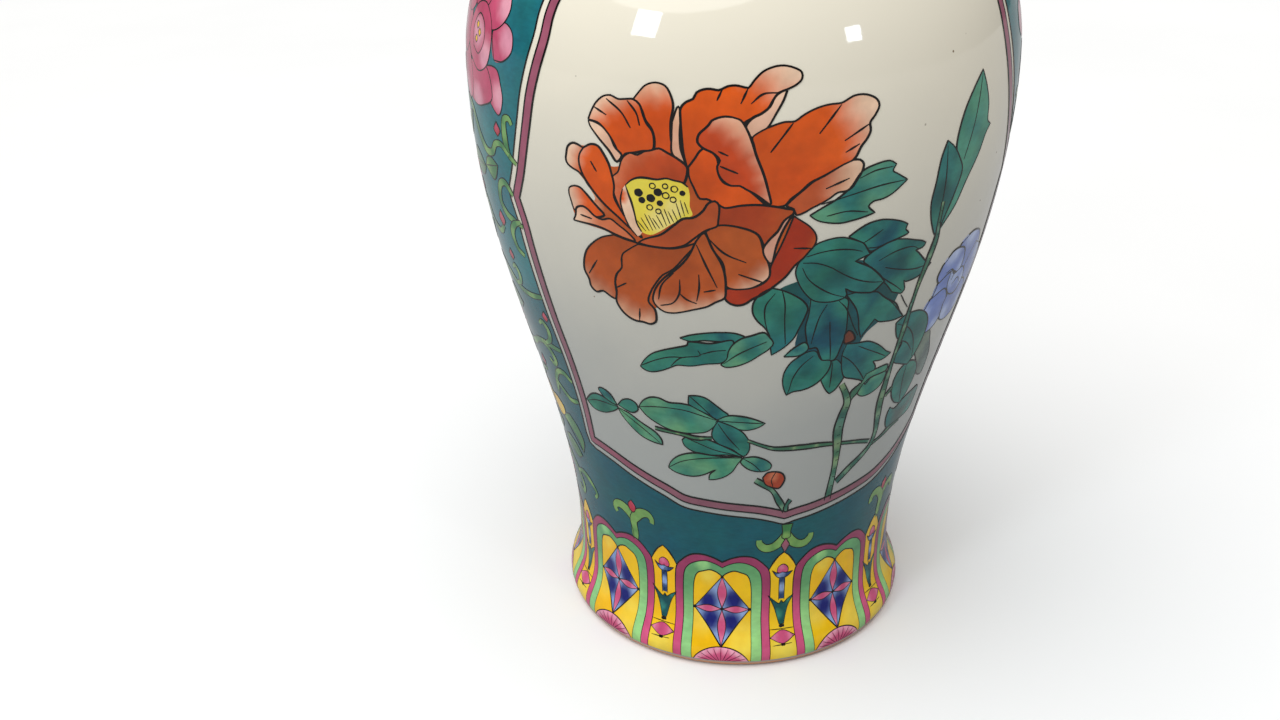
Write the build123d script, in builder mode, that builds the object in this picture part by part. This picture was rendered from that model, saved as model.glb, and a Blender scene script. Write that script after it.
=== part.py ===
"""Ginger jar with its cover, in millimetres.

The jar is a baluster: a splayed foot, a drawn-in waist, a swelling belly, a full round
shoulder and a short upright neck. A large jar like this is thrown or moulded in sections
that are luted together with slip while leather hard, so each section is its own solid and
meets the next face to face. The cover is a helmet-shaped dome with a flat brim, a locating
flange that drops into the neck, and a bud-shaped knob.

Frame: +Z up the jar's axis, origin at the centre of the circle that the foot stands on.
"""
import os

from build123d import *

# --- driving dimensions ---------------------------------------------------------------
belly_radius = 110.0          # the widest circle
belly_height = 240.0
wall = 7.0                    # thrown wall, from the waist to the shoulder

foot_radius = 79.6
foot_round = 4.0              # rounded outer edge of the foot
foot_ring_width = 9.0         # the flat ring that touches the table
waist_radius = 74.0
recess_depth = 10.0           # how far the base is cut up inside the foot ring
base_thickness = 8.0
inside_corner = 8.0           # radius where the wall meets the floor inside

lute_waist = 46.0             # heights of the joins between the thrown sections
lute_belly = 168.0
shoulder_top = 322.0
jar_height = 342.0

neck_radius = 53.0
neck_root_radius = 57.5       # the neck's outside where it springs from the shoulder
mouth_radius = 46.0
lip_round = 2.0

brim_radius = 67.0
brim_thickness = 5.0
dome_radius = 58.5
dome_height = 51.5            # from the brim's underside to the seat of the knob
flange_clearance = 1.4
flange_thickness = 4.6
flange_depth = 18.0

knob_seat_radius = 11.0
knob_stem_radius = 7.5
knob_radius = 16.0
knob_height = 39.5

os.makedirs("parts", exist_ok=True)


# --- the wall of the jar, as one outline ------------------------------------------------
# Outside of the wall from the foot's shoulder to the root of the neck, as (radius, height).
outside = [
    (foot_radius, foot_round),
    (75.9, 17),
    (waist_radius, 30),
    (74.2, 43),
    (78.6, 79),
    (90.1, 129),
    (103.0, 181),
    (belly_radius, belly_height),
    (106.2, 277),
    (100.5, 291),
    (92.0, 304),
    (81.0, 313.6),
    (68.0, 319.8),
    (neck_root_radius, shoulder_top),
]
first_inner = 3               # the inside wall starts at the waist
ring_inner = foot_radius - foot_round - foot_ring_width
floor_height = recess_depth + base_thickness


def inward(before, here, after, distance):
    """The point at a distance inside the wall, square to the line of its neighbours."""
    along = Vector(after[0] - before[0], after[1] - before[1]).normalized()
    return (here[0] - along.Y * distance, here[1] + along.X * distance)


inside = [
    inward(outside[i - 1], outside[i], outside[i + 1], wall)
    for i in range(first_inner, len(outside) - 1)
]
inside_top = (mouth_radius, shoulder_top - wall + 1)

with BuildSketch(Plane.XZ) as wall_outline:
    with BuildLine():
        Spline(*outside, tangents=[(0.25, 1), (-1, 0.1)])
        Line(outside[-1], (mouth_radius, shoulder_top))
        Line((mouth_radius, shoulder_top), inside_top)
        Spline(inside_top, *reversed(inside), tangents=[(1, -0.05), (0, -1)])
        Line(inside[0], (inside[0][0], floor_height + inside_corner))
        RadiusArc(
            (inside[0][0], floor_height + inside_corner),
            (inside[0][0] - inside_corner, floor_height),
            inside_corner,
        )
        Line((inside[0][0] - inside_corner, floor_height), (0, floor_height))
        Line((0, floor_height), (0, recess_depth))
        Line((0, recess_depth), (ring_inner - 3, recess_depth))
        Line((ring_inner - 3, recess_depth), (ring_inner, 0))
        Line((ring_inner, 0), (foot_radius - foot_round, 0))
        RadiusArc((foot_radius - foot_round, 0), (foot_radius, foot_round), -foot_round)
    make_face()


def band(low, high):
    """The slice of the wall's outline between two heights."""
    with BuildSketch(Plane.XZ) as slice_outline:
        add(wall_outline.sketch)
        with Locations((0, low)):
            Rectangle(
                2 * (belly_radius + wall), high - low,
                align=(Align.CENTER, Align.MIN), mode=Mode.INTERSECT,
            )
    return slice_outline.sketch


# --- the four sections of the jar -------------------------------------------------------
with BuildPart() as foot:
    add(band(0, lute_waist))
    revolve(axis=Axis.Z)
foot.part.label = "foot"

with BuildPart() as lower_body:
    add(band(lute_waist, lute_belly))
    revolve(axis=Axis.Z)
lower_body.part.label = "lower_body"

with BuildPart() as upper_body:
    add(band(lute_belly, shoulder_top))
    revolve(axis=Axis.Z)
upper_body.part.label = "upper_body"

root_round = neck_root_radius - neck_radius
with BuildPart() as neck:
    with BuildSketch(Plane.XZ):
        with BuildLine():
            Line((mouth_radius, shoulder_top), (neck_root_radius, shoulder_top))
            RadiusArc(
                (neck_root_radius, shoulder_top),
                (neck_radius, shoulder_top + root_round), root_round,
            )
            Line((neck_radius, shoulder_top + root_round), (neck_radius, jar_height - lip_round))
            RadiusArc(
                (neck_radius, jar_height - lip_round),
                (neck_radius - lip_round, jar_height), -lip_round,
            )
            Line((neck_radius - lip_round, jar_height), (mouth_radius + 1, jar_height))
            Line((mouth_radius + 1, jar_height), (mouth_radius, jar_height - 1))
            Line((mouth_radius, jar_height - 1), (mouth_radius, shoulder_top))
        make_face()
    revolve(axis=Axis.Z)
neck.part.label = "neck"

# --- the cover --------------------------------------------------------------------------
flange_outer = mouth_radius - flange_clearance
flange_inner = flange_outer - flange_thickness
brim_top = jar_height + brim_thickness
knob_seat = jar_height + dome_height
bullnose = brim_thickness / 2

with BuildPart() as lid_dome:
    with BuildSketch(Plane.XZ):
        with BuildLine():
            Line((flange_inner, jar_height), (brim_radius - bullnose, jar_height))
            ThreePointArc(
                (brim_radius - bullnose, jar_height),
                (brim_radius, jar_height + bullnose),
                (brim_radius - bullnose, brim_top),
            )
            Line((brim_radius - bullnose, brim_top), (dome_radius + 2, brim_top))
            RadiusArc((dome_radius + 2, brim_top), (dome_radius, brim_top + 2), 2)
            Spline(
                (dome_radius, brim_top + 2),
                (54.0, 366),
                (42.0, 381.5),
                (26.0, 390.5),
                (knob_seat_radius, knob_seat),
                tangents=[(-0.05, 1), (-1, 0.08)],
            )
            Line((knob_seat_radius, knob_seat), (0, knob_seat))
            Line((0, knob_seat), (0, knob_seat - wall))
            Spline(
                (0, knob_seat - wall),
                (24.0, 383.5),
                (38.5, 375.0),
                (47.5, 361.0),
                (flange_inner, jar_height + 2),
                tangents=[(1, 0), (-0.6, -1)],
            )
            Line((flange_inner, jar_height + 2), (flange_inner, jar_height))
        make_face()
    revolve(axis=Axis.Z)
lid_dome.part.label = "lid_dome"

with BuildPart() as lid_flange:
    with BuildSketch(Plane.XZ):
        with Locations((flange_inner, jar_height)):
            Rectangle(flange_thickness, flange_depth, align=(Align.MIN, Align.MAX))
    revolve(axis=Axis.Z)
    fillet(lid_flange.edges().group_by(Axis.Z)[0], radius=1.5)
lid_flange.part.label = "lid_flange"

knob_tip = knob_seat + knob_height
with BuildPart() as lid_knob:
    with BuildSketch(Plane.XZ):
        with BuildLine():
            Line((0, knob_seat), (knob_seat_radius, knob_seat))
            Spline(
                (knob_seat_radius, knob_seat),
                (knob_stem_radius, knob_seat + 7),
                (knob_radius, knob_seat + 19),
                (10.5, knob_seat + 30.5),
                (0, knob_tip),
                tangents=[(-0.3, 1), (-0.8, 1)],
            )
            Line((0, knob_tip), (0, knob_seat))
        make_face()
    revolve(axis=Axis.Z)
lid_knob.part.label = "lid_knob"

# --- export -----------------------------------------------------------------------------
export_step(foot.part, "parts/foot.step")
export_step(lower_body.part, "parts/lower_body.step")
export_step(upper_body.part, "parts/upper_body.step")
export_step(neck.part, "parts/neck.step")
export_step(lid_dome.part, "parts/lid_dome.step")
export_step(lid_flange.part, "parts/lid_flange.step")
export_step(lid_knob.part, "parts/lid_knob.step")
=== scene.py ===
# %% [markdown]
# # A painted ginger jar
# The jar is porcelain: a turned white body under a clear glaze, painted on top of the glaze
# with coloured enamels that melt into a thin, shiny, slightly raised coat. We make the clay
# first, as one smooth turned wall, then lay every enamel on it as its own thin sheet.

# %% Load the frame
import math

import bmesh
import bpy
import numpy as np
from mathutils import Matrix, Vector
from mathutils.geometry import delaunay_2d_cdt


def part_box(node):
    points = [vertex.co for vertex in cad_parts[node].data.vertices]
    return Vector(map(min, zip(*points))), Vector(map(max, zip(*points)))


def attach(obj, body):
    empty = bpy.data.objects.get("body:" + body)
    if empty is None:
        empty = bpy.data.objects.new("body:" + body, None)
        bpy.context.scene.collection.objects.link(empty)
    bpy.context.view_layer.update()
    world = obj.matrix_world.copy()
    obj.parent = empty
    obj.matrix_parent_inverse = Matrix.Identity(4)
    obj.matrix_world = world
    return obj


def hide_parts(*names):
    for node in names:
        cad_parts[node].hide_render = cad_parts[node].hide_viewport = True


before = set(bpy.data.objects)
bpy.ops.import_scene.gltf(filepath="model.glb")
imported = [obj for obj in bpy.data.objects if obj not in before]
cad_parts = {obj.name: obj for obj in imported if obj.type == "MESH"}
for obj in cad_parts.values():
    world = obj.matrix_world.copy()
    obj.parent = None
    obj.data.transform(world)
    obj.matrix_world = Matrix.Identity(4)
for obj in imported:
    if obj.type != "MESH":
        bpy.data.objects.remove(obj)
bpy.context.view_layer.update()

MM = 0.001

# %% [markdown]
# ## The camera
# The camera looks down on the jar from close by, a little to the left of the middle of the
# front panel, so the foot is small and the belly fills the top of the frame. We build its
# turning matrix from the directions it should have, which is easier to read than angles.

# %% Camera
camera_distance = 479.4 * MM     # from the jar's axis
camera_height = 342.1 * MM
camera_turn = math.radians(12.3)  # how far round to the left of the front panel it stands
heading = math.radians(7.11)     # where it looks, clockwise from +Y seen from above
look_down = math.radians(25.58)
tilt = math.radians(-1.51)

camera_data = bpy.data.cameras.new("camera")
camera_data.sensor_width = 36.0
camera_data.lens = 32.38
camera = bpy.data.objects.new("camera", camera_data)
bpy.context.scene.collection.objects.link(camera)
bpy.context.scene.camera = camera

forward = Vector((math.sin(heading) * math.cos(look_down),
                  math.cos(heading) * math.cos(look_down),
                  -math.sin(look_down)))
level_right = Vector((math.cos(heading), -math.sin(heading), 0))
level_up = level_right.cross(forward)
right = level_right * math.cos(tilt) + level_up * math.sin(tilt)
up = level_up * math.cos(tilt) - level_right * math.sin(tilt)
place = Vector((-camera_distance * math.sin(camera_turn),
                -camera_distance * math.cos(camera_turn),
                camera_height))
camera.matrix_world = Matrix((
    (right.x, up.x, -forward.x, place.x),
    (right.y, up.y, -forward.y, place.y),
    (right.z, up.z, -forward.z, place.z),
    (0, 0, 0, 1),
))
print("camera at", [round(c, 3) for c in place])

# %% [markdown]
# ## Drawing a turned outline
# A potter's wall is a fair curve: its bend changes gently, and the gloss shows any kink. So
# the outline is a cubic spline, which keeps even its curvature continuous, through the few
# points that fix the shape. Small rounded edges are arcs.


# %% Turned outlines
def turned_curve(points, start, end, steps=24):
    """A curve with continuous curvature through (radius, height) points, with end directions."""
    p = np.array(points, float)
    h = np.linalg.norm(np.diff(p, axis=0), axis=1)
    n = len(p)
    left = np.zeros((n, n))
    known = np.zeros((n, 2))
    left[0, 0] = left[-1, -1] = 1
    known[0] = np.array(start) / np.linalg.norm(start)
    known[-1] = np.array(end) / np.linalg.norm(end)
    for i in range(1, n - 1):
        left[i, i - 1] = 1 / h[i - 1]
        left[i, i] = 2 / h[i - 1] + 2 / h[i]
        left[i, i + 1] = 1 / h[i]
        known[i] = 3 * ((p[i] - p[i - 1]) / h[i - 1] ** 2 + (p[i + 1] - p[i]) / h[i] ** 2)
    slope = np.linalg.solve(left, known)
    curve = [p[0]]
    for i in range(n - 1):
        for t in np.arange(1, steps + 1) / steps:
            curve.append((1 + 2 * t) * (1 - t) ** 2 * p[i] + t * (1 - t) ** 2 * h[i] * slope[i]
                         + t * t * (3 - 2 * t) * p[i + 1] + t * t * (t - 1) * h[i] * slope[i + 1])
    return np.array(curve)


def arc(centre, radius, first, last, steps=6):
    """Points on an arc, from one angle to another in degrees."""
    angles = np.radians(np.linspace(first, last, steps + 1))
    return np.array(centre) + radius * np.stack([np.cos(angles), np.sin(angles)], axis=1)


def spread(start, end, gap):
    """Points along a straight line, about gap apart, without the last one."""
    count = max(1, int(np.ceil(np.linalg.norm(np.subtract(end, start)) / gap)))
    t = (np.arange(count) / count)[:, None]
    return np.array(start) * (1 - t) + np.array(end) * t


# %% Outline of the jar
jar_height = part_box("neck")[1][2] / MM
shoulder_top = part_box("neck")[0][2] / MM
neck_radius = 53.0
neck_fillet = 4.5        # the small hollow where the neck springs from the shoulder
neck_root = neck_radius + neck_fillet
mouth_radius = 46.0
wall = 7.0
recess = 10.0
floor_height = 18.0
floor_round = 8.0
inside_low = 34.0        # the inner side starts beside this height of the outer one
inside_near = 60.0       # and stops this far from the axis, under the neck

jar_side = turned_curve(
    [(79.6, 4), (75.9, 17), (74.0, 30), (74.2, 43), (78.6, 79), (90.1, 129), (103.0, 181),
     (110.0, 240), (106.2, 277), (100.5, 291), (92.0, 304), (81.0, 313.6), (68.0, 319.8),
     (neck_root, shoulder_top)],
    start=(0.25, 1), end=(-1, 0.1))
along_side = np.gradient(jar_side, axis=0)
along_side /= np.linalg.norm(along_side, axis=1)[:, None]
side_inward = np.stack([-along_side[:, 1], along_side[:, 0]], axis=1)
has_inside = (jar_side[:, 1] > inside_low) & (jar_side[:, 0] > inside_near)
inner_side = (jar_side + wall * side_inward)[has_inside][::4]
floor_edge = inner_side[0][0]

neck_side = np.concatenate([
    arc((neck_root, shoulder_top + neck_fillet), neck_fillet, 262, 180, 6),
    spread((neck_radius, shoulder_top + 6), (neck_radius, jar_height - 2.5), 2)])
jar_outline = np.concatenate([
    spread((0, recess), (63, recess), 4),
    arc((64, recess - 1.5), 1.5, 90, 0, 3),
    arc((68, 1.5), 1.5, 180, 270, 3),
    spread((69, 0), (75, 0), 2),
    arc((75.6, 4), 4, -90, -8, 7),
    jar_side,
    neck_side,
    arc((neck_radius - 2, jar_height - 2), 2, 0, 90, 5),
    arc((mouth_radius + 1.5, jar_height - 1.5), 1.5, 90, 180, 4),
    spread((mouth_radius, jar_height - 3), (mouth_radius, shoulder_top - 2), 3),
    arc((mouth_radius + 3, shoulder_top - 3.5), 3, 180, 262, 4),
    inner_side[::-1],
    arc((floor_edge - floor_round, floor_height + floor_round), floor_round, 0, -90, 7),
    spread((floor_edge - floor_round - 2, floor_height), (0, floor_height), 4),
    [(0, floor_height)],
])
print("jar outline:", len(jar_outline), "points, widest", round(jar_outline[:, 0].max(), 1), "mm")

# %% Outline of the cover
brim_top = jar_height + 5.0
brim_edge = 64.5
brim_round = 2.5
flange_inside = 40.0
flange_outside = 44.6
flange_round = 1.5
flange_low = jar_height - 16.5
dome_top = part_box("lid_dome")[1][2] / MM
knob_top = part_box("lid_knob")[1][2] / MM
knob_foot = 11.0

dome_side = turned_curve(
    [(58.5, brim_top + 2), (54.0, 366), (42.0, 381.5), (26.0, 390.5), (knob_foot, dome_top)],
    start=(-0.05, 1), end=(-1, 0.08))
dome_inside = turned_curve(
    [(2, dome_top - wall), (24.0, 383.5), (38.5, 375.0), (47.5, 361.0),
     (flange_inside, jar_height + 2)],
    start=(1, 0), end=(-0.6, -1), steps=12)
knob_side = turned_curve(
    [(knob_foot, dome_top), (7.5, dome_top + 7), (16.0, dome_top + 19),
     (10.5, dome_top + 30.5), (0, knob_top)],
    start=(-0.3, 1), end=(-0.8, 1))
lid_outline = np.concatenate([
    [(0, dome_top - wall)],
    dome_inside,
    spread((flange_inside, jar_height), (flange_inside, flange_low), 3),
    arc((flange_inside + flange_round, flange_low), flange_round, 180, 270, 3),
    arc((flange_outside - flange_round, flange_low), flange_round, 270, 360, 3),
    spread((flange_outside, flange_low + 1.5), (flange_outside, jar_height), 3),
    spread((flange_outside, jar_height), (64, jar_height), 3),
    arc((brim_edge, jar_height + brim_round), brim_round, -90, 90, 8),
    spread((63.5, brim_top), (61, brim_top), 2),
    arc((60.5, brim_top + 2), 2, -90, -180, 5),
    dome_side[1:],
])
print("cover outline:", len(lid_outline), "points, knob:", len(knob_side), "points")

# %% [markdown]
# ## Geometry Nodes: turning on the wheel
# A pot is an outline spun about an axis. The tree below does just that: a grid has one
# row for every point of the outline and one column for every step round the wheel, and each
# grid point looks up its outline point and is swung round by its column. Changing the
# number of steps or the outline changes the pot, and nothing is modelled by hand.


# %% Helpers for node trees
def new_tree(name, inputs):
    """An empty Geometry Nodes group with named inputs, and what holds its nodes."""
    tree = bpy.data.node_groups.new(name, "GeometryNodeTree")
    tree.interface.new_socket("Geometry", in_out="INPUT", socket_type="NodeSocketGeometry")
    for label, kind in inputs:
        tree.interface.new_socket(label, in_out="INPUT", socket_type=kind)
    tree.interface.new_socket("Geometry", in_out="OUTPUT", socket_type="NodeSocketGeometry")
    return tree


def node(tree, kind, settings=None, **links):
    """Adds a node. Links name its inputs by label or number: a socket, or a plain value."""
    made = tree.nodes.new(kind)
    for key, value in (settings or {}).items():
        setattr(made, key, value)
    for key, value in links.items():
        label = key.replace("_", " ")
        socket = made.inputs[int(label[1:])] if label[1:].isdigit() else made.inputs[label]
        if isinstance(value, bpy.types.NodeSocket):
            tree.links.new(value, socket)
        else:
            socket.default_value = value
    return made


def math_node(tree, operation, a, b=0.0):
    """One sum, as a socket."""
    return node(tree, "ShaderNodeMath", {"operation": operation}, i0=a, i1=b).outputs[0]


def swing(tree, vector, angle):
    """A position swung round the jar's axis, as a socket."""
    turned = node(tree, "ShaderNodeVectorRotate", {"rotation_type": "Z_AXIS"},
                  Vector=vector, Angle=angle)
    return turned.outputs["Vector"]


def run_tree(obj, tree, values):
    """Puts a tree on an object with its named inputs, and returns the finished plain mesh."""
    modifier = obj.modifiers.new(tree.name, "NODES")
    modifier.node_group = tree
    for item in tree.interface.items_tree:
        if item.in_out == "INPUT" and item.name in values:
            modifier[item.identifier] = values[item.name]
    bpy.context.view_layer.update()
    evaluated = obj.evaluated_get(bpy.context.evaluated_depsgraph_get())
    mesh = bpy.data.meshes.new_from_object(evaluated)
    obj.modifiers.remove(modifier)
    return mesh


def points_object(name, points):
    """A chain of points in the XZ plane, in metres, as a hidden helper object."""
    mesh = bpy.data.meshes.new(name)
    chain = [(r * MM, 0, z * MM) for r, z in points]
    mesh.from_pydata(chain, [(i, i + 1) for i in range(len(chain) - 1)], [])
    obj = bpy.data.objects.new(name, mesh)
    bpy.context.scene.collection.objects.link(obj)
    return obj


# %% The wheel tree
wheel = new_tree("turn on the wheel",
                 [("Steps", "NodeSocketInt"), ("Material", "NodeSocketMaterial")])
group_in = node(wheel, "NodeGroupInput")
outline_in = group_in.outputs["Geometry"]
size = node(wheel, "GeometryNodeAttributeDomainSize", Geometry=outline_in)
columns = math_node(wheel, "ADD", group_in.outputs["Steps"], 1.0)
rows = size.outputs["Point Count"]
grid = node(wheel, "GeometryNodeMeshGrid",
            Size_X=1.0, Size_Y=1.0, Vertices_X=columns, Vertices_Y=rows)
position = node(wheel, "GeometryNodeInputPosition").outputs[0]
here = node(wheel, "ShaderNodeSeparateXYZ", Vector=position)
around = math_node(wheel, "ADD", here.outputs["X"], 0.5)
upward = math_node(wheel, "ADD", here.outputs["Y"], 0.5)
last_row = math_node(wheel, "SUBTRACT", rows, 1.0)
row = math_node(wheel, "ROUND", math_node(wheel, "MULTIPLY", upward, last_row))
outline_point = node(wheel, "GeometryNodeSampleIndex", {"data_type": "FLOAT_VECTOR"},
                     Geometry=outline_in, Index=row, Value=position)
turn = math_node(wheel, "MULTIPLY", around, 2 * math.pi)
thrown = node(wheel, "GeometryNodeSetPosition", Geometry=grid.outputs["Mesh"],
              Position=swing(wheel, outline_point.outputs["Value"], turn))
closed = node(wheel, "GeometryNodeMergeByDistance", Geometry=thrown.outputs[0], Distance=1e-6)
smooth = node(wheel, "GeometryNodeSetShadeSmooth", Geometry=closed.outputs[0])
real = node(wheel, "GeometryNodeRealizeInstances", Geometry=smooth.outputs[0])
painted = node(wheel, "GeometryNodeSetMaterial", Geometry=real.outputs[0],
               Material=group_in.outputs["Material"])
node(wheel, "NodeGroupOutput", Geometry=painted.outputs[0])
print("the wheel tree has", len(wheel.nodes), "nodes")


# %% Turning a pot
def face_outward(mesh):
    """Turns every face of a closed mesh outward."""
    shell = bmesh.new()
    shell.from_mesh(mesh)
    bmesh.ops.recalc_face_normals(shell, faces=shell.faces)
    shell.to_mesh(mesh)
    shell.free()


def turn_pot(name, outline, material, steps=192):
    """A turned piece of the jar from its outline."""
    helper = points_object(name + "_outline", outline)
    mesh = run_tree(helper, wheel, {"Steps": steps, "Material": material})
    bpy.data.objects.remove(helper)
    face_outward(mesh)
    pot = bpy.data.objects.new(name, mesh)
    bpy.context.scene.collection.objects.link(pot)
    print(name, "has", len(mesh.polygons), "faces")
    return pot


# %% [markdown]
# ## Glaze and biscuit
# Clear glaze over white clay is a smooth dielectric with a slow waviness and a few iron specks.
# Its colour also carries painted shade and painted light: greyer and darker toward the bottom,
# warmer and lighter toward the top. Where the foot ring is wiped clean of glaze the fired clay shows:
# dull, warm, and darker where iron burnt along the glaze's edge. Height decides which shows.


# %% Helpers for materials
def start_material(name, roughness, coat=0.0, shine=0.5):
    """A new material with its shader, and a pattern's starting point: Object coordinates."""
    material = bpy.data.materials.new(name)
    material.use_nodes = True
    tree = material.node_tree
    shader = tree.nodes["Principled BSDF"]
    shader.inputs["Roughness"].default_value = roughness
    shader.inputs["Specular IOR Level"].default_value = shine
    shader.inputs["Coat Weight"].default_value = coat
    shader.inputs["Coat Roughness"].default_value = 0.03
    coords = tree.nodes.new("ShaderNodeTexCoord").outputs["Object"]
    return material, tree, shader, coords


def noise(tree, coords, scale, detail=3.0, stretch=None):
    """Cloudy noise from 0 to 1, as a socket; stretch squeezes it along X, Y or Z."""
    if stretch:
        coords = node(tree, "ShaderNodeMapping", Vector=coords, Scale=stretch).outputs[0]
    return node(tree, "ShaderNodeTexNoise", Vector=coords, Scale=scale, Detail=detail).outputs["Fac"]


def ramp(tree, value, stops):
    """A colour ramp from (position, colour) stops, as a socket."""
    made = node(tree, "ShaderNodeValToRGB", i0=value)
    elements = made.color_ramp.elements
    while len(elements) < len(stops):
        elements.new(0.5)
    for element, (position, colour) in zip(elements, stops):
        element.position = position
        element.color = (*colour, 1)
    return made.outputs["Color"]


def blend_colour(tree, amount, a, b, mode="MIX"):
    """Two colours blended, as a socket."""
    mix = tree.nodes.new("ShaderNodeMix")
    mix.data_type = "RGBA"
    mix.blend_type = mode
    for label, value in (("Factor", amount), ("A", a), ("B", b)):
        socket = next(s for s in mix.inputs if s.name == label and s.enabled)
        if isinstance(value, bpy.types.NodeSocket):
            tree.links.new(value, socket)
        else:
            socket.default_value = value if label == "Factor" else (*value, 1)
    return next(s for s in mix.outputs if s.enabled)


def rough_surface(tree, shader, height, strength, distance):
    """Bump from a height socket, with the depth in metres."""
    bump = node(tree, "ShaderNodeBump", Strength=strength, Distance=distance, Height=height)
    tree.links.new(bump.outputs["Normal"], shader.inputs["Normal"])


# %% Glaze
glaze_roughness = 0.05
clay_roughness = 0.5            # how much duller bare clay is
bare_fade = (1.2 * MM, 0.6 * MM)     # heights between which glaze gives way to bare clay
iron_fade = (4.2 * MM, 3.0 * MM)     # heights between which iron starts to show
wavy_depth = 1.0 * MM


def between(tree, value, start, end):
    """0 at the start and 1 at the end, as a socket."""
    return node(tree, "ShaderNodeMapRange", Value=value, From_Min=start, From_Max=end).outputs[0]


def glazed_porcelain():
    """White glaze with specks and painted shade, grey low down and warm cream high up; bare clay on the foot
    ring below the glaze line.
    """
    material, tree, shader, coords = start_material("white_glaze", glaze_roughness, 0.15)
    height = node(tree, "ShaderNodeSeparateXYZ", Vector=coords).outputs["Z"]
    cloud = math_node(tree, "MULTIPLY", noise(tree, coords, 14, 4), 0.06)
    # painted shade and light: the glaze runs from dark grey at the bottom to warm cream at the top, as the
    # light fell on it
    painted_shade_share = between(tree, math_node(tree, "ADD", height, cloud), 0.07, 0.29)
    painted_shade_tone = ramp(tree, painted_shade_share, [(0.0, (0.38, 0.405, 0.39)), (0.4, (0.455, 0.465, 0.435)),
                                 (1.0, (0.92, 0.85, 0.69))])
    cells = node(tree, "ShaderNodeTexVoronoi", Vector=coords, Scale=150.0)
    speck = ramp(tree, cells.outputs["Distance"], [(0.045, (1, 1, 1)), (0.075, (0, 0, 0))])
    rare = ramp(tree, noise(tree, coords, 37, 2), [(0.60, (0, 0, 0)), (0.66, (1, 1, 1))])
    speck = blend_colour(tree, 1.0, speck, rare, "MULTIPLY")
    glaze = blend_colour(tree, speck, painted_shade_tone, (0.20, 0.13, 0.07))
    clay = ramp(tree, noise(tree, coords, 220, 5),
                [(0.3, (0.52, 0.36, 0.22)), (0.7, (0.66, 0.50, 0.34))])
    wander = math_node(tree, "MULTIPLY", noise(tree, coords, 30, 2), 0.0012)
    level = math_node(tree, "ADD", height, wander)
    bare_share = between(tree, level, *bare_fade)
    glaze = blend_colour(tree, between(tree, level, *iron_fade), glaze, (0.78, 0.34, 0.16))
    tree.links.new(blend_colour(tree, bare_share, glaze, clay), shader.inputs["Base Color"])
    dull = math_node(tree, "MULTIPLY_ADD", bare_share, clay_roughness)
    dull.node.inputs[2].default_value = glaze_roughness
    tree.links.new(dull, shader.inputs["Roughness"])
    rough_surface(tree, shader, noise(tree, coords, 60, 2), 0.06, wavy_depth)
    return material


white_glaze = glazed_porcelain()
print("white_glaze has", len(white_glaze.node_tree.nodes), "nodes")

# %% [markdown]
# ## The white jar and its cover
# A real jar is luted together from thrown sections, but its glaze hides every join. One mesh
# from foot ring to lip and down the inside to the floor keeps the gloss unbroken, so a single
# turned wall stands for the four sections of the jar, and another for the cover's two.

# %% Jar wall
jar_wall = turn_pot("jar_wall", jar_outline, white_glaze)
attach(jar_wall, "jar")
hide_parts("foot", "lower_body", "upper_body", "neck")

# %% Cover
lid_wall = turn_pot("lid_wall", lid_outline, white_glaze, steps=144)
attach(lid_wall, "lid")
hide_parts("lid_dome", "lid_flange")

# %% [markdown]
# ## Enamel as thin sheets
# Overglaze enamel is ground glass painted on the finished glaze and melted in a second, cooler
# firing. It stands a tenth of a millimetre or two above the glaze. A texture would lose the crisp
# black drawing and the raised edges, so each colour is a real, closed, thin sheet.
#
# Everything is first drawn flat, as on a sheet of paper wrapped round the jar: x is
# the distance round, in hundredths of a radian, and z is the height in millimetres. Like a
# painter, we list shapes from the back to the front. A Delaunay triangulation cuts all of them
# along each other's edges, every triangle goes to the front shape that covers it, and so
# neighbouring colours meet edge to edge with nothing hidden under them.


# %% Brush curves
def brush_curve(points, step=1.0, closed=False):
    """A smooth line through the points. A point given twice is a sharp corner."""
    points = [tuple(p) for p in points]
    if closed:
        corner = next((i for i in range(len(points)) if points[i] == points[i - 1]), None)
        if corner is None:
            points = points + points[:1]
        else:
            points = points[corner:] + points[:corner]
    runs = [[points[0]]]
    for point in points[1:]:
        if point == runs[-1][-1]:
            runs.append([point])
        else:
            runs[-1].append(point)
    looped = closed and corner is None
    curve = []
    for painted_shade_share in (r for r in runs if len(r) > 1):
        p = np.array(painted_shade_share, float)
        before = p[-2] if looped else 2 * p[0] - p[1]
        after = p[1] if looped else 2 * p[-1] - p[-2]
        q = np.vstack([before, p, after])
        for i in range(1, len(q) - 2):
            a, b, c, d = q[i - 1:i + 3]
            gaps = [max(np.linalg.norm(n - m), 1e-6) ** 0.5 for m, n in ((a, b), (b, c), (c, d))]
            leave = ((b - a) / gaps[0] - (c - a) / (gaps[0] + gaps[1]) + (c - b) / gaps[1]) * gaps[1]
            arrive = ((c - b) / gaps[1] - (d - b) / (gaps[1] + gaps[2]) + (d - c) / gaps[2]) * gaps[1]
            count = max(1, int(round(np.linalg.norm(c - b) / step)))
            t = (np.arange(count) / count)[:, None]
            curve.append((1 + 2 * t) * (1 - t) ** 2 * b + t * (1 - t) ** 2 * leave
                         + t * t * (3 - 2 * t) * c + t * t * (t - 1) * arrive)
        end = p[-1]
    curve = np.vstack(curve)
    return curve if closed else np.vstack([curve, end])


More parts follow.
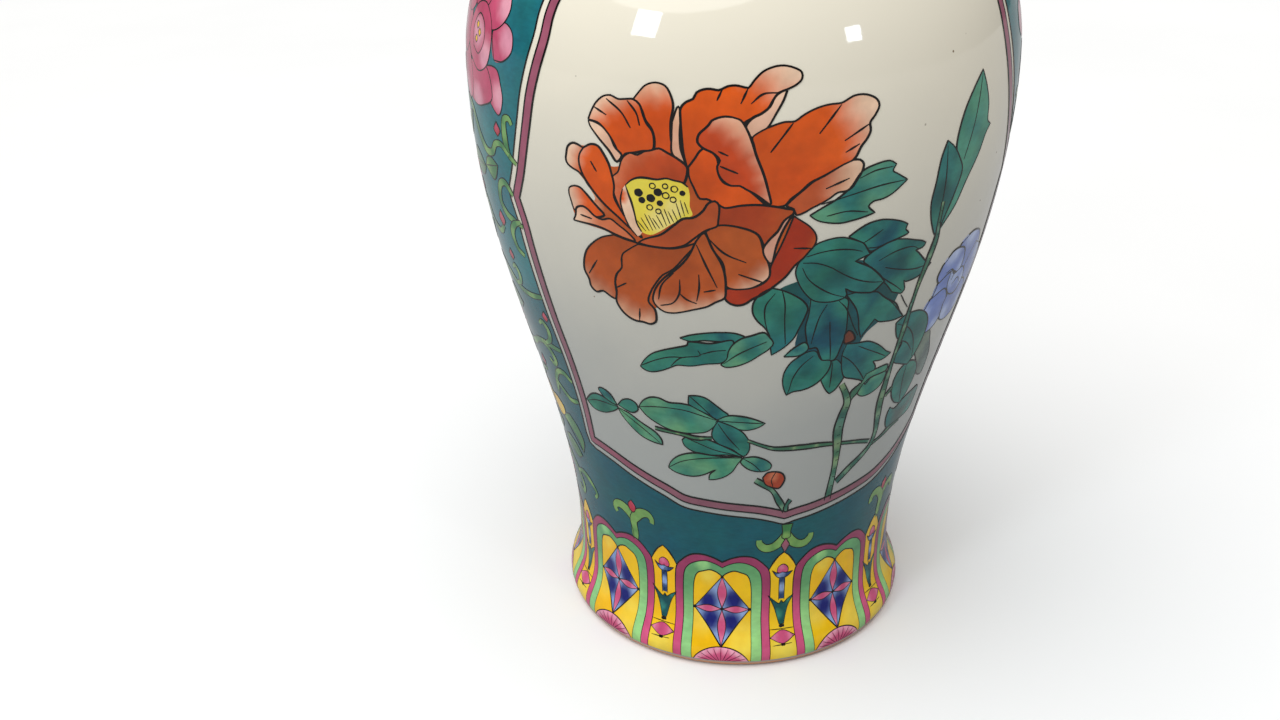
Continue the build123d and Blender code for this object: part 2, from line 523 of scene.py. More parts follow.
def ribbon(course, width, taper=0.35, swell=0.18, closed=False):
    """The outline of a brush stroke along a line, thinner at its ends and a little uneven."""
    course = np.asarray(course, float)
    ahead = np.gradient(course, axis=0)
    if closed:
        ahead = (np.roll(course, -1, axis=0) - np.roll(course, 1, axis=0)) / 2
    ahead /= np.maximum(np.linalg.norm(ahead, axis=1), 1e-9)[:, None]
    side = np.stack([-ahead[:, 1], ahead[:, 0]], axis=1)
    s = np.linspace(0, 1, len(course))
    phase = course[0, 0] * 1.7 + course[0, 1] * 2.3      # each stroke swells in its own places
    press = 1 + swell * np.sin(phase + 9.0 * s)
    if not closed:
        press *= taper + (1 - taper) * np.sin(np.pi * np.clip(s, 0.02, 0.98)) ** 0.5
    half = (width / 2 * press)[:, None]
    near, far = course + side * half, course - side * half
    if closed:
        near, far = np.vstack([near, near[:1]]), np.vstack([far, far[:1]])
    return np.vstack([near, far[::-1]])


def path(text):
    """Points written as "x z, x z, ...". A point marked c is a sharp corner."""
    points = []
    for word in text.split(","):
        x, z, *mark = word.split()
        points += [(float(x), float(z))] * (2 if mark else 1)
    return points


def tint(red, green, blue):
    """A colour as the eye names it, from 0 to 255, turned into light."""
    return tuple(((c / 255 + 0.055) / 1.055) ** 2.4 for c in (red, green, blue))


# %% Points moved and mirrored
def shifted(points, x):
    """The same points moved sideways."""
    return [(x + px, z) for px, z in points]


def mirror(points, side):
    """The same points, on the other side of the centre line where side is -1."""
    return [(side * x, z) for x, z in points]


def both_halves(left):
    """A left half followed by its mirror image."""
    return left + mirror(left, -1)[::-1]


def rectangle(half_width, low, high):
    """The corners of a rectangle about the centre line."""
    return [(-half_width, low), (half_width, low), (half_width, high), (-half_width, high)]


# %% The list of painted shapes
ink = tint(14, 11, 10)
bare = None          # a shape in no enamel leaves the white glaze bare
painting = []        # filled by add_shape(), emptied by lay_painting()


def add_shape(paint, shape, colour, pale=None, spots=()):
    """Puts one finished outline in front of everything painted so far."""
    painting.append({"enamel": paint, "shape": shape, "colour": colour, "pale": pale, "spots": spots})


def wash(paint, outline, colour, pale=None, spots=(), step=1.2, smooth=True):
    """A filled shape in one enamel, fading to a paler colour round some spots (x, z, radius)."""
    shape = brush_curve(outline, step, closed=True) if smooth else np.array(outline, float)
    add_shape(paint, shape, colour, pale, spots)
    return shape


def line(points, width=0.75, colour=ink, closed=False, taper=0.35, step=1.0):
    """One stroke of the fine black brush through the points."""
    curve = brush_curve(points, step, closed)
    add_shape("black", ribbon(curve, width, taper, closed=closed), colour)


def outlined(paint, points, colour, pale, spots, width=0.7, side=1, taper=0.75):
    """A filled shape with a black line round it."""
    outline = mirror(points, side)
    wash(paint, outline, colour, pale, [(side * x, z, radius) for x, z, radius in spots])
    line(outline + outline[:1], width, taper=taper)


def shade(item, points):
    """The colour of a painted shape at each point."""
    colour = np.tile(item["colour"], (len(points), 1)).astype(float)
    if item["pale"] is not None:
        amount = np.zeros(len(points))
        if "fade" in item:
            (x, z), near, far = item["fade"]
            away = np.hypot(points[:, 0] - x, points[:, 1] - z)
            turn = np.arctan2(points[:, 1] - z, points[:, 0] - x)
            uneven = 0.05 * np.sin(31 * turn) + 0.04 * np.sin(53 * turn + 1)
            amount = np.clip((away - near) / (far - near) + uneven, 0, 1)
            colour *= 1 - 0.35 * np.clip((near - away) / near, 0, 1)[:, None]
        for x, z, radius in item["spots"]:
            away = np.hypot(points[:, 0] - x, points[:, 1] - z) / radius
            amount = np.maximum(amount, np.clip(1.5 - 1.3 * away, 0, 1))
        amount = (amount * amount * (3 - 2 * amount))[:, None]
        colour = colour * (1 - amount) + np.array(item["pale"]) * amount
    return colour


def covers(shape, points):
    """Which points lie inside a closed shape, by its winding number."""
    turns = np.zeros(len(points), int)
    x, z = points[:, 0], points[:, 1]
    for (ax, az), (bx, bz) in zip(shape, np.roll(shape, -1, axis=0)):
        side = (bx - ax) * (z - az) - (x - ax) * (bz - az)
        turns += ((az <= z) & (bz > z) & (side > 0)).astype(int)
        turns -= ((az > z) & (bz <= z) & (side < 0)).astype(int)
    return turns != 0


# %% Cutting the shapes
meeting_distance = 0.01     # points nearer than this become one


def cut_painting(cell, limit):
    """Cuts all shapes along each other's edges. Returns points, triangles and their owners."""
    points, edges = [], []
    for item in painting:
        first = len(points)
        ends = np.roll(item["shape"], -1, axis=0)
        outline = np.concatenate([spread(a, b, cell * 0.8) for a, b in zip(item["shape"], ends)])
        count = len(outline)
        points.extend(outline)
        edges.extend((first + i, first + (i + 1) % count) for i in range(count))
    everything = np.array(points)
    low, high = everything.min(axis=0), everything.max(axis=0)
    xs = np.arange(low[0] + cell / 2, high[0], cell)
    zs = np.arange(low[1] + cell / 2, high[1], cell)
    inner = np.array([(x + (cell / 2 if k % 2 else 0), z) for k, z in enumerate(zs) for x in xs])
    points.extend(inner[inner[:, 0] < high[0]])
    cut = delaunay_2d_cdt([Vector(p) for p in points], edges, [], 0, meeting_distance, False)
    corners = np.array([tuple(v) for v in cut[0]])
    triangles = np.array([f for f in cut[2] if len(f) == 3])
    centres = corners[triangles].mean(axis=1)
    owner = np.full(len(triangles), -1)
    for rank, item in enumerate(painting):
        low, high = item["shape"].min(axis=0), item["shape"].max(axis=0)
        near = np.where(((centres > low) & (centres < high)).all(axis=1))[0]
        owner[near[covers(item["shape"], centres[near])]] = rank
    owner[np.abs(centres[:, 0]) > limit] = -1
    return corners, triangles, owner


# %% [markdown]
# ## Geometry Nodes: laying a sheet on the wall
# The second tree bends flat sheets round a turned wall and repeats them. It reads the
# wall's outline as a curve: a sheet's x is the angle round the jar, its y is how far up the
# outline a point lies, and its z is how high it stands off the wall. Copies are turned evenly
# about the axis, so one panel makes two and one lappet makes the whole band.

# %% The laying tree
laying = new_tree("lay on the wall",
                  [("Wall", "NodeSocketObject"), ("Copies", "NodeSocketInt"),
                   ("First turn", "NodeSocketFloat"), ("Material", "NodeSocketMaterial")])
group_in = node(laying, "NodeGroupInput")
wall_object = node(laying, "GeometryNodeObjectInfo", Object=group_in.outputs["Wall"])
wall_curve = node(laying, "GeometryNodeMeshToCurve", Mesh=wall_object.outputs["Geometry"])
flat = node(laying, "ShaderNodeSeparateXYZ",
            Vector=node(laying, "GeometryNodeInputPosition").outputs[0])
on_wall = node(laying, "GeometryNodeSampleCurve", {"mode": "FACTOR", "use_all_curves": True},
               Curves=wall_curve.outputs[0], Factor=flat.outputs["Y"])
tangent = node(laying, "ShaderNodeSeparateXYZ", Vector=on_wall.outputs["Tangent"])
outward = node(laying, "ShaderNodeCombineXYZ", X=tangent.outputs["Z"],
               Z=math_node(laying, "MULTIPLY", tangent.outputs["X"], -1.0))
lift = node(laying, "ShaderNodeVectorMath", {"operation": "SCALE"},
            Vector=outward.outputs[0], Scale=flat.outputs["Z"])
raised = node(laying, "ShaderNodeVectorMath", {"operation": "ADD"},
              i0=on_wall.outputs["Position"], i1=lift.outputs[0])
angle = math_node(laying, "ADD", flat.outputs["X"], group_in.outputs["First turn"])
bent = node(laying, "GeometryNodeSetPosition", Geometry=group_in.outputs["Geometry"],
            Position=swing(laying, raised.outputs[0], angle))
stations = node(laying, "GeometryNodeMeshLine",
                Count=group_in.outputs["Copies"], Offset=(0, 0, 0))
pitch = math_node(laying, "DIVIDE", 2 * math.pi, group_in.outputs["Copies"])
station = node(laying, "GeometryNodeInputIndex").outputs[0]
facing = node(laying, "ShaderNodeCombineXYZ", Z=math_node(laying, "MULTIPLY", station, pitch))
copies = node(laying, "GeometryNodeInstanceOnPoints", Points=stations.outputs[0],
              Instance=bent.outputs[0], Rotation=facing.outputs[0])
real = node(laying, "GeometryNodeRealizeInstances", Geometry=copies.outputs[0])
painted = node(laying, "GeometryNodeSetMaterial", Geometry=real.outputs[0],
               Material=group_in.outputs["Material"])
node(laying, "NodeGroupOutput", Geometry=painted.outputs[0])
print("the laying tree has", len(laying.nodes), "nodes")


# %% Walls to paint on
def paintable(name, side, along=False):
    """A wall's outline as a helper object, read by height or by the distance along it."""
    helper = points_object(name, side)
    helper.hide_render = True
    steps = np.linalg.norm(np.diff(side, axis=0), axis=1)
    length = np.concatenate([[0], np.cumsum(steps)])
    ahead = np.gradient(side, axis=0)
    ahead /= np.linalg.norm(ahead, axis=1)[:, None]
    print(name, "is", round(length[-1], 1), "mm long up the wall")
    return {"object": helper, "side": side, "length": length, "share": length / length[-1],
            "heights": length if along else side[:, 1],
            "normals": np.stack([ahead[:, 1], -ahead[:, 0]], axis=1)}


jar_paper = paintable("jar_paper", jar_side)

# %% The wall's own normals
same_way = 0.7       # faces within about 45 degrees of the wall take its normals


def wall_normals(wall_data, places):
    """The wall's own outward direction at places in metres."""
    radius = np.maximum(np.hypot(places[:, 0], places[:, 1]), 1e-9)
    side = wall_data["side"]
    here = np.stack([radius, places[:, 2]], axis=1) / MM
    parts = np.array_split(here, len(here) // 4000 + 1)      # small parts need little memory
    nearest = np.concatenate([((part[:, None] - side[None]) ** 2).sum(axis=2).argmin(axis=1)
                              for part in parts])
    ahead = wall_data["normals"][nearest][:, ::-1] * [-1, 1]
    on_line = wall_data["length"][nearest] + ((here - side[nearest]) * ahead).sum(axis=1)
    out_r = np.interp(on_line, wall_data["length"], wall_data["normals"][:, 0])
    out_z = np.interp(on_line, wall_data["length"], wall_data["normals"][:, 1])
    return np.stack([out_r * places[:, 0] / radius, out_r * places[:, 1] / radius, out_z], axis=1)


def gloss_like_wall(mesh, wall_data):
    """Gives the top of each sheet the wall's own normals, so highlights run on unbroken."""
    places = np.empty(len(mesh.vertices) * 3)
    mesh.vertices.foreach_get("co", places)
    ideal = wall_normals(wall_data, places.reshape(-1, 3))
    corner_point = np.empty(len(mesh.loops), int)
    mesh.loops.foreach_get("vertex_index", corner_point)
    face_normal = np.empty(len(mesh.polygons) * 3)
    mesh.polygons.foreach_get("normal", face_normal)
    sizes = np.empty(len(mesh.polygons), int)
    mesh.polygons.foreach_get("loop_total", sizes)
    flat_normal = np.repeat(face_normal.reshape(-1, 3), sizes, axis=0)
    curved = ideal[corner_point]
    agree = (flat_normal * curved).sum(axis=1)[:, None]
    inside = np.where(agree < -same_way, -curved, flat_normal)
    chosen = np.where(agree > same_way, curved, inside)
    mesh.shade_smooth()
    mesh.normals_split_custom_set(chosen.tolist())


# %% [markdown]
# A sheet is closed: a top with the drawn colours, the same triangles again sunk into the wall,
# and a rim between them. The colour is stored at face corners, so two shapes can meet in a
# sharp edge while each fades smoothly inside.

# %% Heights and slots of the enamels
sheet_height = {"turquoise": 0.11, "pink": 0.20, "green": 0.20, "yellow": 0.16,
                "red": 0.17, "leaf": 0.18, "blue": 0.20, "black": 0.22}      # mm above the glaze
sunk = 0.25          # mm that every sheet reaches into the wall
enamel_materials = {}
enamel_slots = {paint: paint + "_enamel" for paint in sheet_height}
enamel_slots.update({"red": "iron_red_enamel", "leaf": "green_enamel"})
print("enamels:", ", ".join(sheet_height))


def flat_sheet(name, corners, triangles, colours, wall_data, height):
    """A closed thin sheet in flat paper coordinates."""
    used, triangles = np.unique(triangles, return_inverse=True)
    triangles = triangles.reshape(-1, 3)
    spots = corners[used]
    a, b, c = (spots[triangles[:, i]] for i in range(3))
    turned_over = np.cross(b - a, c - a) < 0
    triangles[turned_over] = triangles[turned_over][:, ::-1]
    colours = colours.reshape(-1, 3, 3)
    colours[turned_over] = colours[turned_over][:, ::-1]
    half_edges = np.concatenate([triangles[:, [0, 1]], triangles[:, [1, 2]], triangles[:, [2, 0]]])
    edge_colours = np.concatenate([colours[:, 0], colours[:, 1], colours[:, 2]])
    known = set(map(tuple, half_edges.tolist()))
    rim = np.array([(q, p) not in known for p, q in half_edges.tolist()])
    p, q = half_edges[rim].T
    count = len(spots)
    share = np.interp(spots[:, 1], wall_data["heights"], wall_data["share"])
    top = np.stack([spots[:, 0] / 100, share, np.full(count, height * MM)], axis=1)
    bottom = top.copy()
    bottom[:, 2] = -sunk * MM
    faces = (triangles.tolist() + (triangles[:, ::-1] + count).tolist()
             + np.stack([q, p, p + count, q + count], axis=1).tolist())
    mesh = bpy.data.meshes.new(name)
    mesh.from_pydata(np.vstack([top, bottom]).tolist(), [], faces)
    rim_colours = np.repeat(edge_colours[rim], 4, axis=0)
    all_colours = np.vstack([colours.reshape(-1, 3), colours[:, ::-1].reshape(-1, 3), rim_colours])
    paint = mesh.color_attributes.new("paint", "FLOAT_COLOR", "CORNER")
    paint.data.foreach_set("color", np.hstack([all_colours, np.ones((len(all_colours), 1))]).ravel())
    return mesh


# %% Laying a painting
def lay_painting(name, wall_data, body, copies=1, centre=0.0, cell=3.0, limit=1000.0):
    """Cuts the painting, makes one piece of each enamel in it, and starts a new painting."""
    corners, triangles, owner = cut_painting(cell, limit)
    paints = sorted({item["enamel"] for item in painting if item["enamel"] is not bare})
    total = 0
    for paint in paints:
        mine = np.isin(owner, [k for k, item in enumerate(painting) if item["enamel"] == paint])
        if not mine.any():
            continue
        chosen, its_owner = triangles[mine], owner[mine]
        colours = np.zeros((len(chosen) * 3, 3))
        for rank in np.unique(its_owner):
            rows = np.repeat(its_owner == rank, 3)
            colours[rows] = shade(painting[rank], corners[chosen.ravel()[rows]])
        flat_mesh = flat_sheet(name, corners, chosen, colours, wall_data, sheet_height[paint])
        helper = bpy.data.objects.new(name, flat_mesh)
        bpy.context.scene.collection.objects.link(helper)
        mesh = run_tree(helper, laying, {
            "Wall": wall_data["object"], "Copies": copies,
            "First turn": centre / 100 - math.pi / 2, "Material": enamel_materials[paint]})
        bpy.data.objects.remove(helper)
        gloss_like_wall(mesh, wall_data)
        piece = bpy.data.objects.new(name + "_" + paint, mesh)
        bpy.context.scene.collection.objects.link(piece)
        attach(piece, body)
        total += len(mesh.polygons)
    painting.clear()
    print(name, "laid as", ", ".join(paints), "with", total, "faces")


# %% [markdown]
# ## Enamel finishes
# Each enamel takes its drawn colour from the sheet and adds what firing does: slow pooling
# that darkens the colour, fine brush streaks, pin-sized bubbles, and a glassy skin that
# is wavier than the glaze below.

# %% Enamel materials
skin_depth = 0.8 * MM


def around_one(amount):
    """Two greys, one as much below 1 as the other is above."""
    return (1 - amount,) * 3, (1 + amount,) * 3


def fired_enamel(name, pooling=0.25, streaks=0.15, stretch=(1, 1, 6), thin=(1, 1, 1), thick=(1, 1, 1)):
    """Glassy enamel in the colours drawn on the sheet, drifting between a thin and a thick tone."""
    material, tree, shader, coords = start_material(name, 0.10, 0.12, 0.3)
    drawn = node(tree, "ShaderNodeAttribute", {"attribute_name": "paint"}).outputs["Color"]
    drift = ramp(tree, noise(tree, coords, 45, 3), [(0.32, thick), (0.68, thin)])
    tone = blend_colour(tree, 1.0, drawn, drift, "MULTIPLY")
    pool = ramp(tree, noise(tree, coords, 110, 4), list(zip((0.25, 0.75), around_one(pooling))))
    tone = blend_colour(tree, 1.0, tone, pool, "MULTIPLY")
    fine = noise(tree, coords, 260, 3, stretch)
    streak = ramp(tree, fine, list(zip((0.3, 0.7), around_one(streaks))))
    tone = blend_colour(tree, 1.0, tone, streak, "MULTIPLY")
    tree.links.new(tone, shader.inputs["Base Color"])
    skin = math_node(tree, "ADD", noise(tree, coords, 120, 2), math_node(tree, "MULTIPLY", fine, 0.3))
    rough_surface(tree, shader, skin, 0.12, skin_depth)
    return material


# %% The eight enamels
full = (1.0, 1.0, 1.0)
even = (1, 1, 1)
enamel_materials.update({
    "turquoise": fired_enamel("turquoise_enamel", 0.14, 0.10, (1, 1, 3),
                              (0.96, 1.0, 0.94), (0.6, 0.84, 0.98)),
    "pink": fired_enamel("pink_enamel", 0.14, 0.06, even, full, (0.90, 0.76, 0.86)),
    "green": fired_enamel("apple_green_enamel", 0.14, 0.08, (1, 1, 2), (1.0, 1.0, 0.9), (0.78, 0.88, 0.9)),
    "yellow": fired_enamel("yellow_enamel", 0.08, 0.03, even, full, (1.0, 0.84, 0.5)),
    "red": fired_enamel("iron_red_enamel", 0.14, 0.05, even, full, (0.84, 0.70, 0.6)),
    "leaf": fired_enamel("leaf_green_enamel", 0.18, 0.10, (1, 1, 2), (1.25, 1.08, 0.86), (0.5, 0.74, 1.0)),
    "blue": fired_enamel("cobalt_blue_enamel", 0.18, 0.08, even, full, (0.7, 0.8, 0.94)),
    "black": fired_enamel("black_drawing", 0.1, 0.1),
})
print("made", len(enamel_materials), "enamels")

# %% [markdown]
# ## The lappet band round the foot
# Nine tall lappets stand round the foot with a slim flower between each pair. It is the
# clearest repeat on the jar, so one lappet and one gap are drawn and the tree lays nine.

# %% Colours of the lappets
crimson = tint(164, 64, 104)
rose = tint(222, 92, 136)
blush = tint(240, 140, 170)
apple = tint(112, 176, 118)
pale_apple = tint(166, 224, 146)
sun_yellow = tint(255, 210, 22)
straw = tint(255, 228, 84)
cobalt = tint(10, 24, 118)
sky = tint(164, 186, 226)
dark_teal = tint(14, 92, 92)
steel = tint(44, 76, 122)
foot_edge = 2.6
lappet_count = 9
lappet_pitch = 2 * math.pi * 100 / lappet_count
lappet_turn = -26.8      # where the first lappet stands, from the middle of the front panel
print("a lappet is", round(lappet_pitch / 100 * jar_side[0, 0], 1), "mm wide at the foot")


def bracket_arch(half_width, peak, notch, shoulder):
    """A lappet's outline: two rounded lobes with a notch between."""
    return both_halves([
        (-half_width, foot_edge), (-half_width, foot_edge), (-half_width - 0.6, 20),
        (-half_width, shoulder - 4), (-half_width * 0.88, shoulder),
        (-half_width * 0.66, peak - 0.9), (-half_width * 0.42, peak),
        (-half_width * 0.18, (peak + notch) / 2 + 0.4), (0, notch)])


# %% One lappet and one gap
gap = lappet_pitch / 2
gap_slope = shifted(path("3.2 54.8, 6 51.5, 8 48 c"), -gap)
gap_edge = [(-gap, foot_edge)] * 2 + [(-gap, 57.0)] * 2 + gap_slope
wash("yellow", both_halves(gap_edge), sun_yellow, straw,
     [(0, 12, 14), (gap, 8, 10), (-gap, 8, 10), (0, 44, 9)])
for side in (-1, 1):
    line(mirror([(gap, 57.2), (gap - 3.2, 55.0), (gap - 6, 51.8), (gap - 8.2, 48)], side), 0.8)
coats = (
    ("pink", bracket_arch(27.0, 56.4, 53.0, 51.5), crimson, rose, [(-27, 10, 28), (27, 10, 28)], 0.7),
    ("green", bracket_arch(22.2, 53.0, 50.0, 49.5), apple, pale_apple,
     [(-20, 10, 26), (20, 12, 30), (-11, 51.5, 5)], 0.55),
    ("yellow", bracket_arch(16.3, 48.4, 45.3, 46.0), sun_yellow, straw,
     [(-12, 22, 9), (12, 14, 11), (-8, 46, 6)], 0.55))
for paint, arch, colour, pale, spots, width in coats:
    wash(paint, arch, colour, pale, spots)
    line(arch[1:-1], width)


# %% Blue diamond with four pink blades
middle_z = 27.8
diamond = path("0 45.2 c, 16.2 27.8 c, 0 10.8 c, -16.2 27.8 c")
wash("blue", diamond, sky, cobalt, [(-8, 31.5, 7), (7, 33, 7.5), (-6.5, 22.5, 7), (5.5, 21.5, 7)])
for top_z, bottom_z, width in ((45, 28, 2.7), (27.6, 11, 2.4)):
    widest_z = (top_z + bottom_z) / 2
    blade = [(0, top_z)] * 2 + [(width, widest_z)] + [(0, bottom_z)] * 2 + [(-width, widest_z)]
    outlined("pink", blade, blush, rose, [(0, widest_z, 5)], 0.45, taper=0.7)
for side in (-1, 1):
    blade = path("16 27.8 c, 8 29.6, 0 27.8 c, 8 26.0")
    outlined("pink", blade, blush, rose, [(8, middle_z, 3.5)], 0.45, side, taper=0.7)
line(diamond + diamond[:1], 0.6, taper=0.8)
for x, z in ((0, 45), (16, middle_z), (-16, middle_z), (0, middle_z)):
    line([(x - 0.9, z), (x + 0.9, z)], 1.5, taper=0.6, step=0.5)
print(len(painting), "shapes painted so far")

# %% Shell at the lappet's foot
rim_angles = [math.radians(a) for a in range(-75, 76, 15)]
shell_rim = [(16 * math.sin(a), 1.0 + 9.8 * math.cos(a)) for a in rim_angles]
shell_left = [(-15.6, foot_edge)] * 2
shell_edge = tint(250, 184, 200)
shell_ray = tint(120, 20, 62)
scallops = [(15.4 * math.sin(a + 0.13), 0.6 + 9.4 * math.cos(a + 0.13), 2.4) for a in rim_angles[:-1]]
wash("pink", shell_left + shell_rim + mirror(shell_left, -1), rose, shell_edge, scallops, step=0.8)
line(shell_rim, 0.5, taper=0.8)
for a in rim_angles[1:-1]:
    line([(3 * math.sin(a), foot_edge + 1.2 * math.cos(a)), (15.2 * math.sin(a), 0.8 + 9.2 * math.cos(a))],
         0.42, shell_ray)
print(len(painting), "shapes with the shell")

# %% Flower between two lappets
leaf_edge = tint(60, 150, 130)
for centre in (-gap, gap):
    outlined("pink", shifted(path("-3.3 46.5, -2.9 48.9, 0 50.6, 2.9 48.9, 3.3 46.5, 0 45.4"), centre),
             rose, blush, [(centre - 1, 49.2, 2)], 0.4, taper=0.8)
    cup = path("""-6.2 47.6 c, -2.5 45.8, 0 46.2, 2.5 45.8, 6.2 46.2 c, 3.2 43.8, 0 43.0, -3.2 44.0""")
    outlined("blue", shifted(cup, centre), steel, sky, [(centre - 1, 44.6, 3)], 0.4, taper=0.8)
    stalk = path("-1.7 43.6 c, -1.6 32 c, 1.6 32 c, 1.7 43.6 c")
    wash("blue", shifted(stalk, centre), steel, sky, [(centre, 38, 3)])
    for side in (-1, 1):
        line(shifted(mirror([(1.7, 43.6), (1.6, 31.5)], side), centre), 0.45)
    leaves = path("""-8.2 34.6 c, -4.6 31.6, -1.2 29.6, 0 31.2, 1.2 29.8, 4 31.6, 7.6 33.4 c, 4.4 28.6,
        1.4 19.2 c, -1.4 19.2 c, -4.4 28""")
    outlined("leaf", shifted(leaves, centre), dark_teal, leaf_edge,
             [(centre + 5, 32, 3), (centre - 2, 24, 3)], 0.35, taper=0.8)
    line(shifted(path("-1.6 18.4, 1.6 18.4"), centre), 1.4, step=0.5)
    lozenge = path("-7.4 13.8 c, 0 16.6, 7.4 13.8 c, 0 11.1")
    outlined("pink", shifted(lozenge, centre), rose, blush,
             [(centre - 6, 13.8, 3.5), (centre + 6, 13.8, 3.5)], 0.3, taper=0.8)
    line(shifted(path("-7 17.2, 7 16.9"), centre), 0.35)
    line(shifted(path("-6 10.5, 5 10.8"), centre), 0.35)
    line(shifted(path("-1.2 10.6, 1.2 10.6"), centre), 1.1, step=0.5)


# %% Nine lappets round the foot
lay_painting("lappets", jar_paper, "jar", copies=lappet_count, centre=lappet_turn, cell=2.2)

# %% [markdown]
# ## The turquoise ground and the panel's border
# The ground was brushed on around a reserved panel of bare white glaze. The panel's
# border is a pink line between two black ones, with a strip of bare glaze outside it. The same
# half of the jar is laid twice, so the back has a panel too.

# %% Colours of the ground
ground_blue = tint(10, 92, 102)
ground_pale = tint(34, 124, 128)
border_pink = tint(166, 92, 112)
border_mauve = tint(146, 98, 110)
half_turn = math.pi * 100
ground_low = 46.0
ground_high = 311.6
print("each half of the ground is", round(half_turn, 1), "wide and", ground_high - ground_low, "high")

# %% Ground and border
pale_patches = [(-150, 250, 80), (150, 250, 80), (-60, 300, 60), (60, 300, 60),
                (-120, 190, 30), (125, 150, 35)]
wash("turquoise", rectangle(half_turn / 2, ground_low, ground_high), ground_blue, ground_pale,
     pale_patches, smooth=False)
panel_left = path("""0 304 c, -12 301, -28 299, -42 299.5 c, -56 299, -70 296, -80 291 c, -84 287,
    -86 281, -87 273, -90 263, -93 253, -95.5 243, -98.5 233, -102 223, -107 213 c, -104.5 203,
    -103.5 193, -102.5 183, -100.5 163, -98 143, -97.5 123, -99.5 103 c, -95 102.7, -85 100.5,
    -75 97, -65 93.5, -55 90, -47 86.5, -43 85.7 c, -35 85, -25 84, -15 83, -8 82, 0 80, 6.5 77.8 c""")
panel_right = path("""12 79, 20 80, 30 81.5, 40 83, 50 84.5, 60 86, 70 89, 80 93, 97.5 103 c,
    95.5 123, 96 143, 98.5 163, 100.5 183, 102 203, 106 213 c, 98.5 230, 93 243, 90 250, 87 258,
    84 268, 82 279, 80 291 c, 70 296, 56 299, 42 299.5 c, 28 299, 12 301""")
border = brush_curve(panel_left + panel_right, 1.5, closed=True)


def band(paint, width, colour, pale=None, spots=()):
    """An even band along the panel's border."""
    add_shape(paint, ribbon(border, width, taper=1, swell=0, closed=True), colour, pale, spots)


band("black", 10.6, ink)
band(bare, 9.4, ink)
add_shape(bare, border, ink)
band("black", 4.5, ink)
band("pink", 3.0, border_pink, border_mauve, [(0, 60, 110), (-100, 150, 60), (100, 150, 60)])
print("the border has", len(border), "points")

# %% [markdown]
# Scrolls and small flowers fill the turquoise between the panels. The painter let
# them wander, so they are drawn one by one on one side and turned over for the other.

# %% Tendrils, spots and small flowers
scroll_green = tint(64, 130, 74)
scroll_pale = tint(130, 174, 98)
peony_pink = tint(208, 82, 116)
peony_pale = tint(240, 172, 184)
bud_red = tint(190, 50, 70)


def scroll(points, width, side=1):
    """A green tendril with a thin black edge and a pale middle."""
    curve = brush_curve(mirror(points, side), 1.0)
    spots = [(side * x, z, width * 1.6) for x, z in points[::2]]
    add_shape("black", ribbon(curve, width + 0.9, 0.45, 0.1), ink)
    add_shape("green", ribbon(curve, width, 0.45, 0.1), scroll_green, scroll_pale, spots)


def spot_outline(x, z, radius, stretch=1.0):
    """Points round a spot. Stretch widens it where one unit of x is less than a millimetre."""
    return [(x + radius * math.cos(a) * stretch, z + radius * math.sin(a))
            for a in (0, 1.26, 2.51, 3.77, 5.03)]


def small_flower(x, z, size, stretch, petals=5):
    """A round pink flower with a yellow middle."""
    blade = size * 0.46
    heart_size = size * 0.26
    for k in range(petals):
        a = 2 * math.pi * k / petals + 0.3
        out_x, out_z = size * 0.62 * math.cos(a) * stretch, size * 0.62 * math.sin(a)
        outlined("pink", spot_outline(x + out_x, z + out_z, blade, stretch), peony_pink, peony_pale,
                 [(x + out_x * 1.6, z + out_z * 1.6, blade)], 0.45)
    outlined("yellow", spot_outline(x, z, heart_size, stretch), sun_yellow, straw, [(x, z, heart_size)], 0.4)


# %% Pendant under the panel's lower cusp
for arm in ("8.5 72.5, 8.5 68, 6 63.8, 1 60.6, -3.5 60.6, -6.4 63.2, -6.6 65",
            "8.5 72.5, 8.5 68, 11 63.8, 16 60.6, 20.5 60.6, 23.2 63.2, 23.4 65"):
    scroll(path(arm), 4.4)
outlined("green", path("5.4 72.6 c, 6.2 68, 6 65.5, 8.5 64.4, 11 65.5, 10.8 68, 11.6 72.6 c"),
         scroll_green, scroll_pale, [(8.5, 66, 3)], 0.5)
outlined("pink", path("8.5 65 c, 11 61.2 c, 8.5 57 c, 6 61.2 c"), border_mauve, border_pink,
         [(8.5, 62, 2)], 0.5)
print(len(painting), "shapes with the pendant")

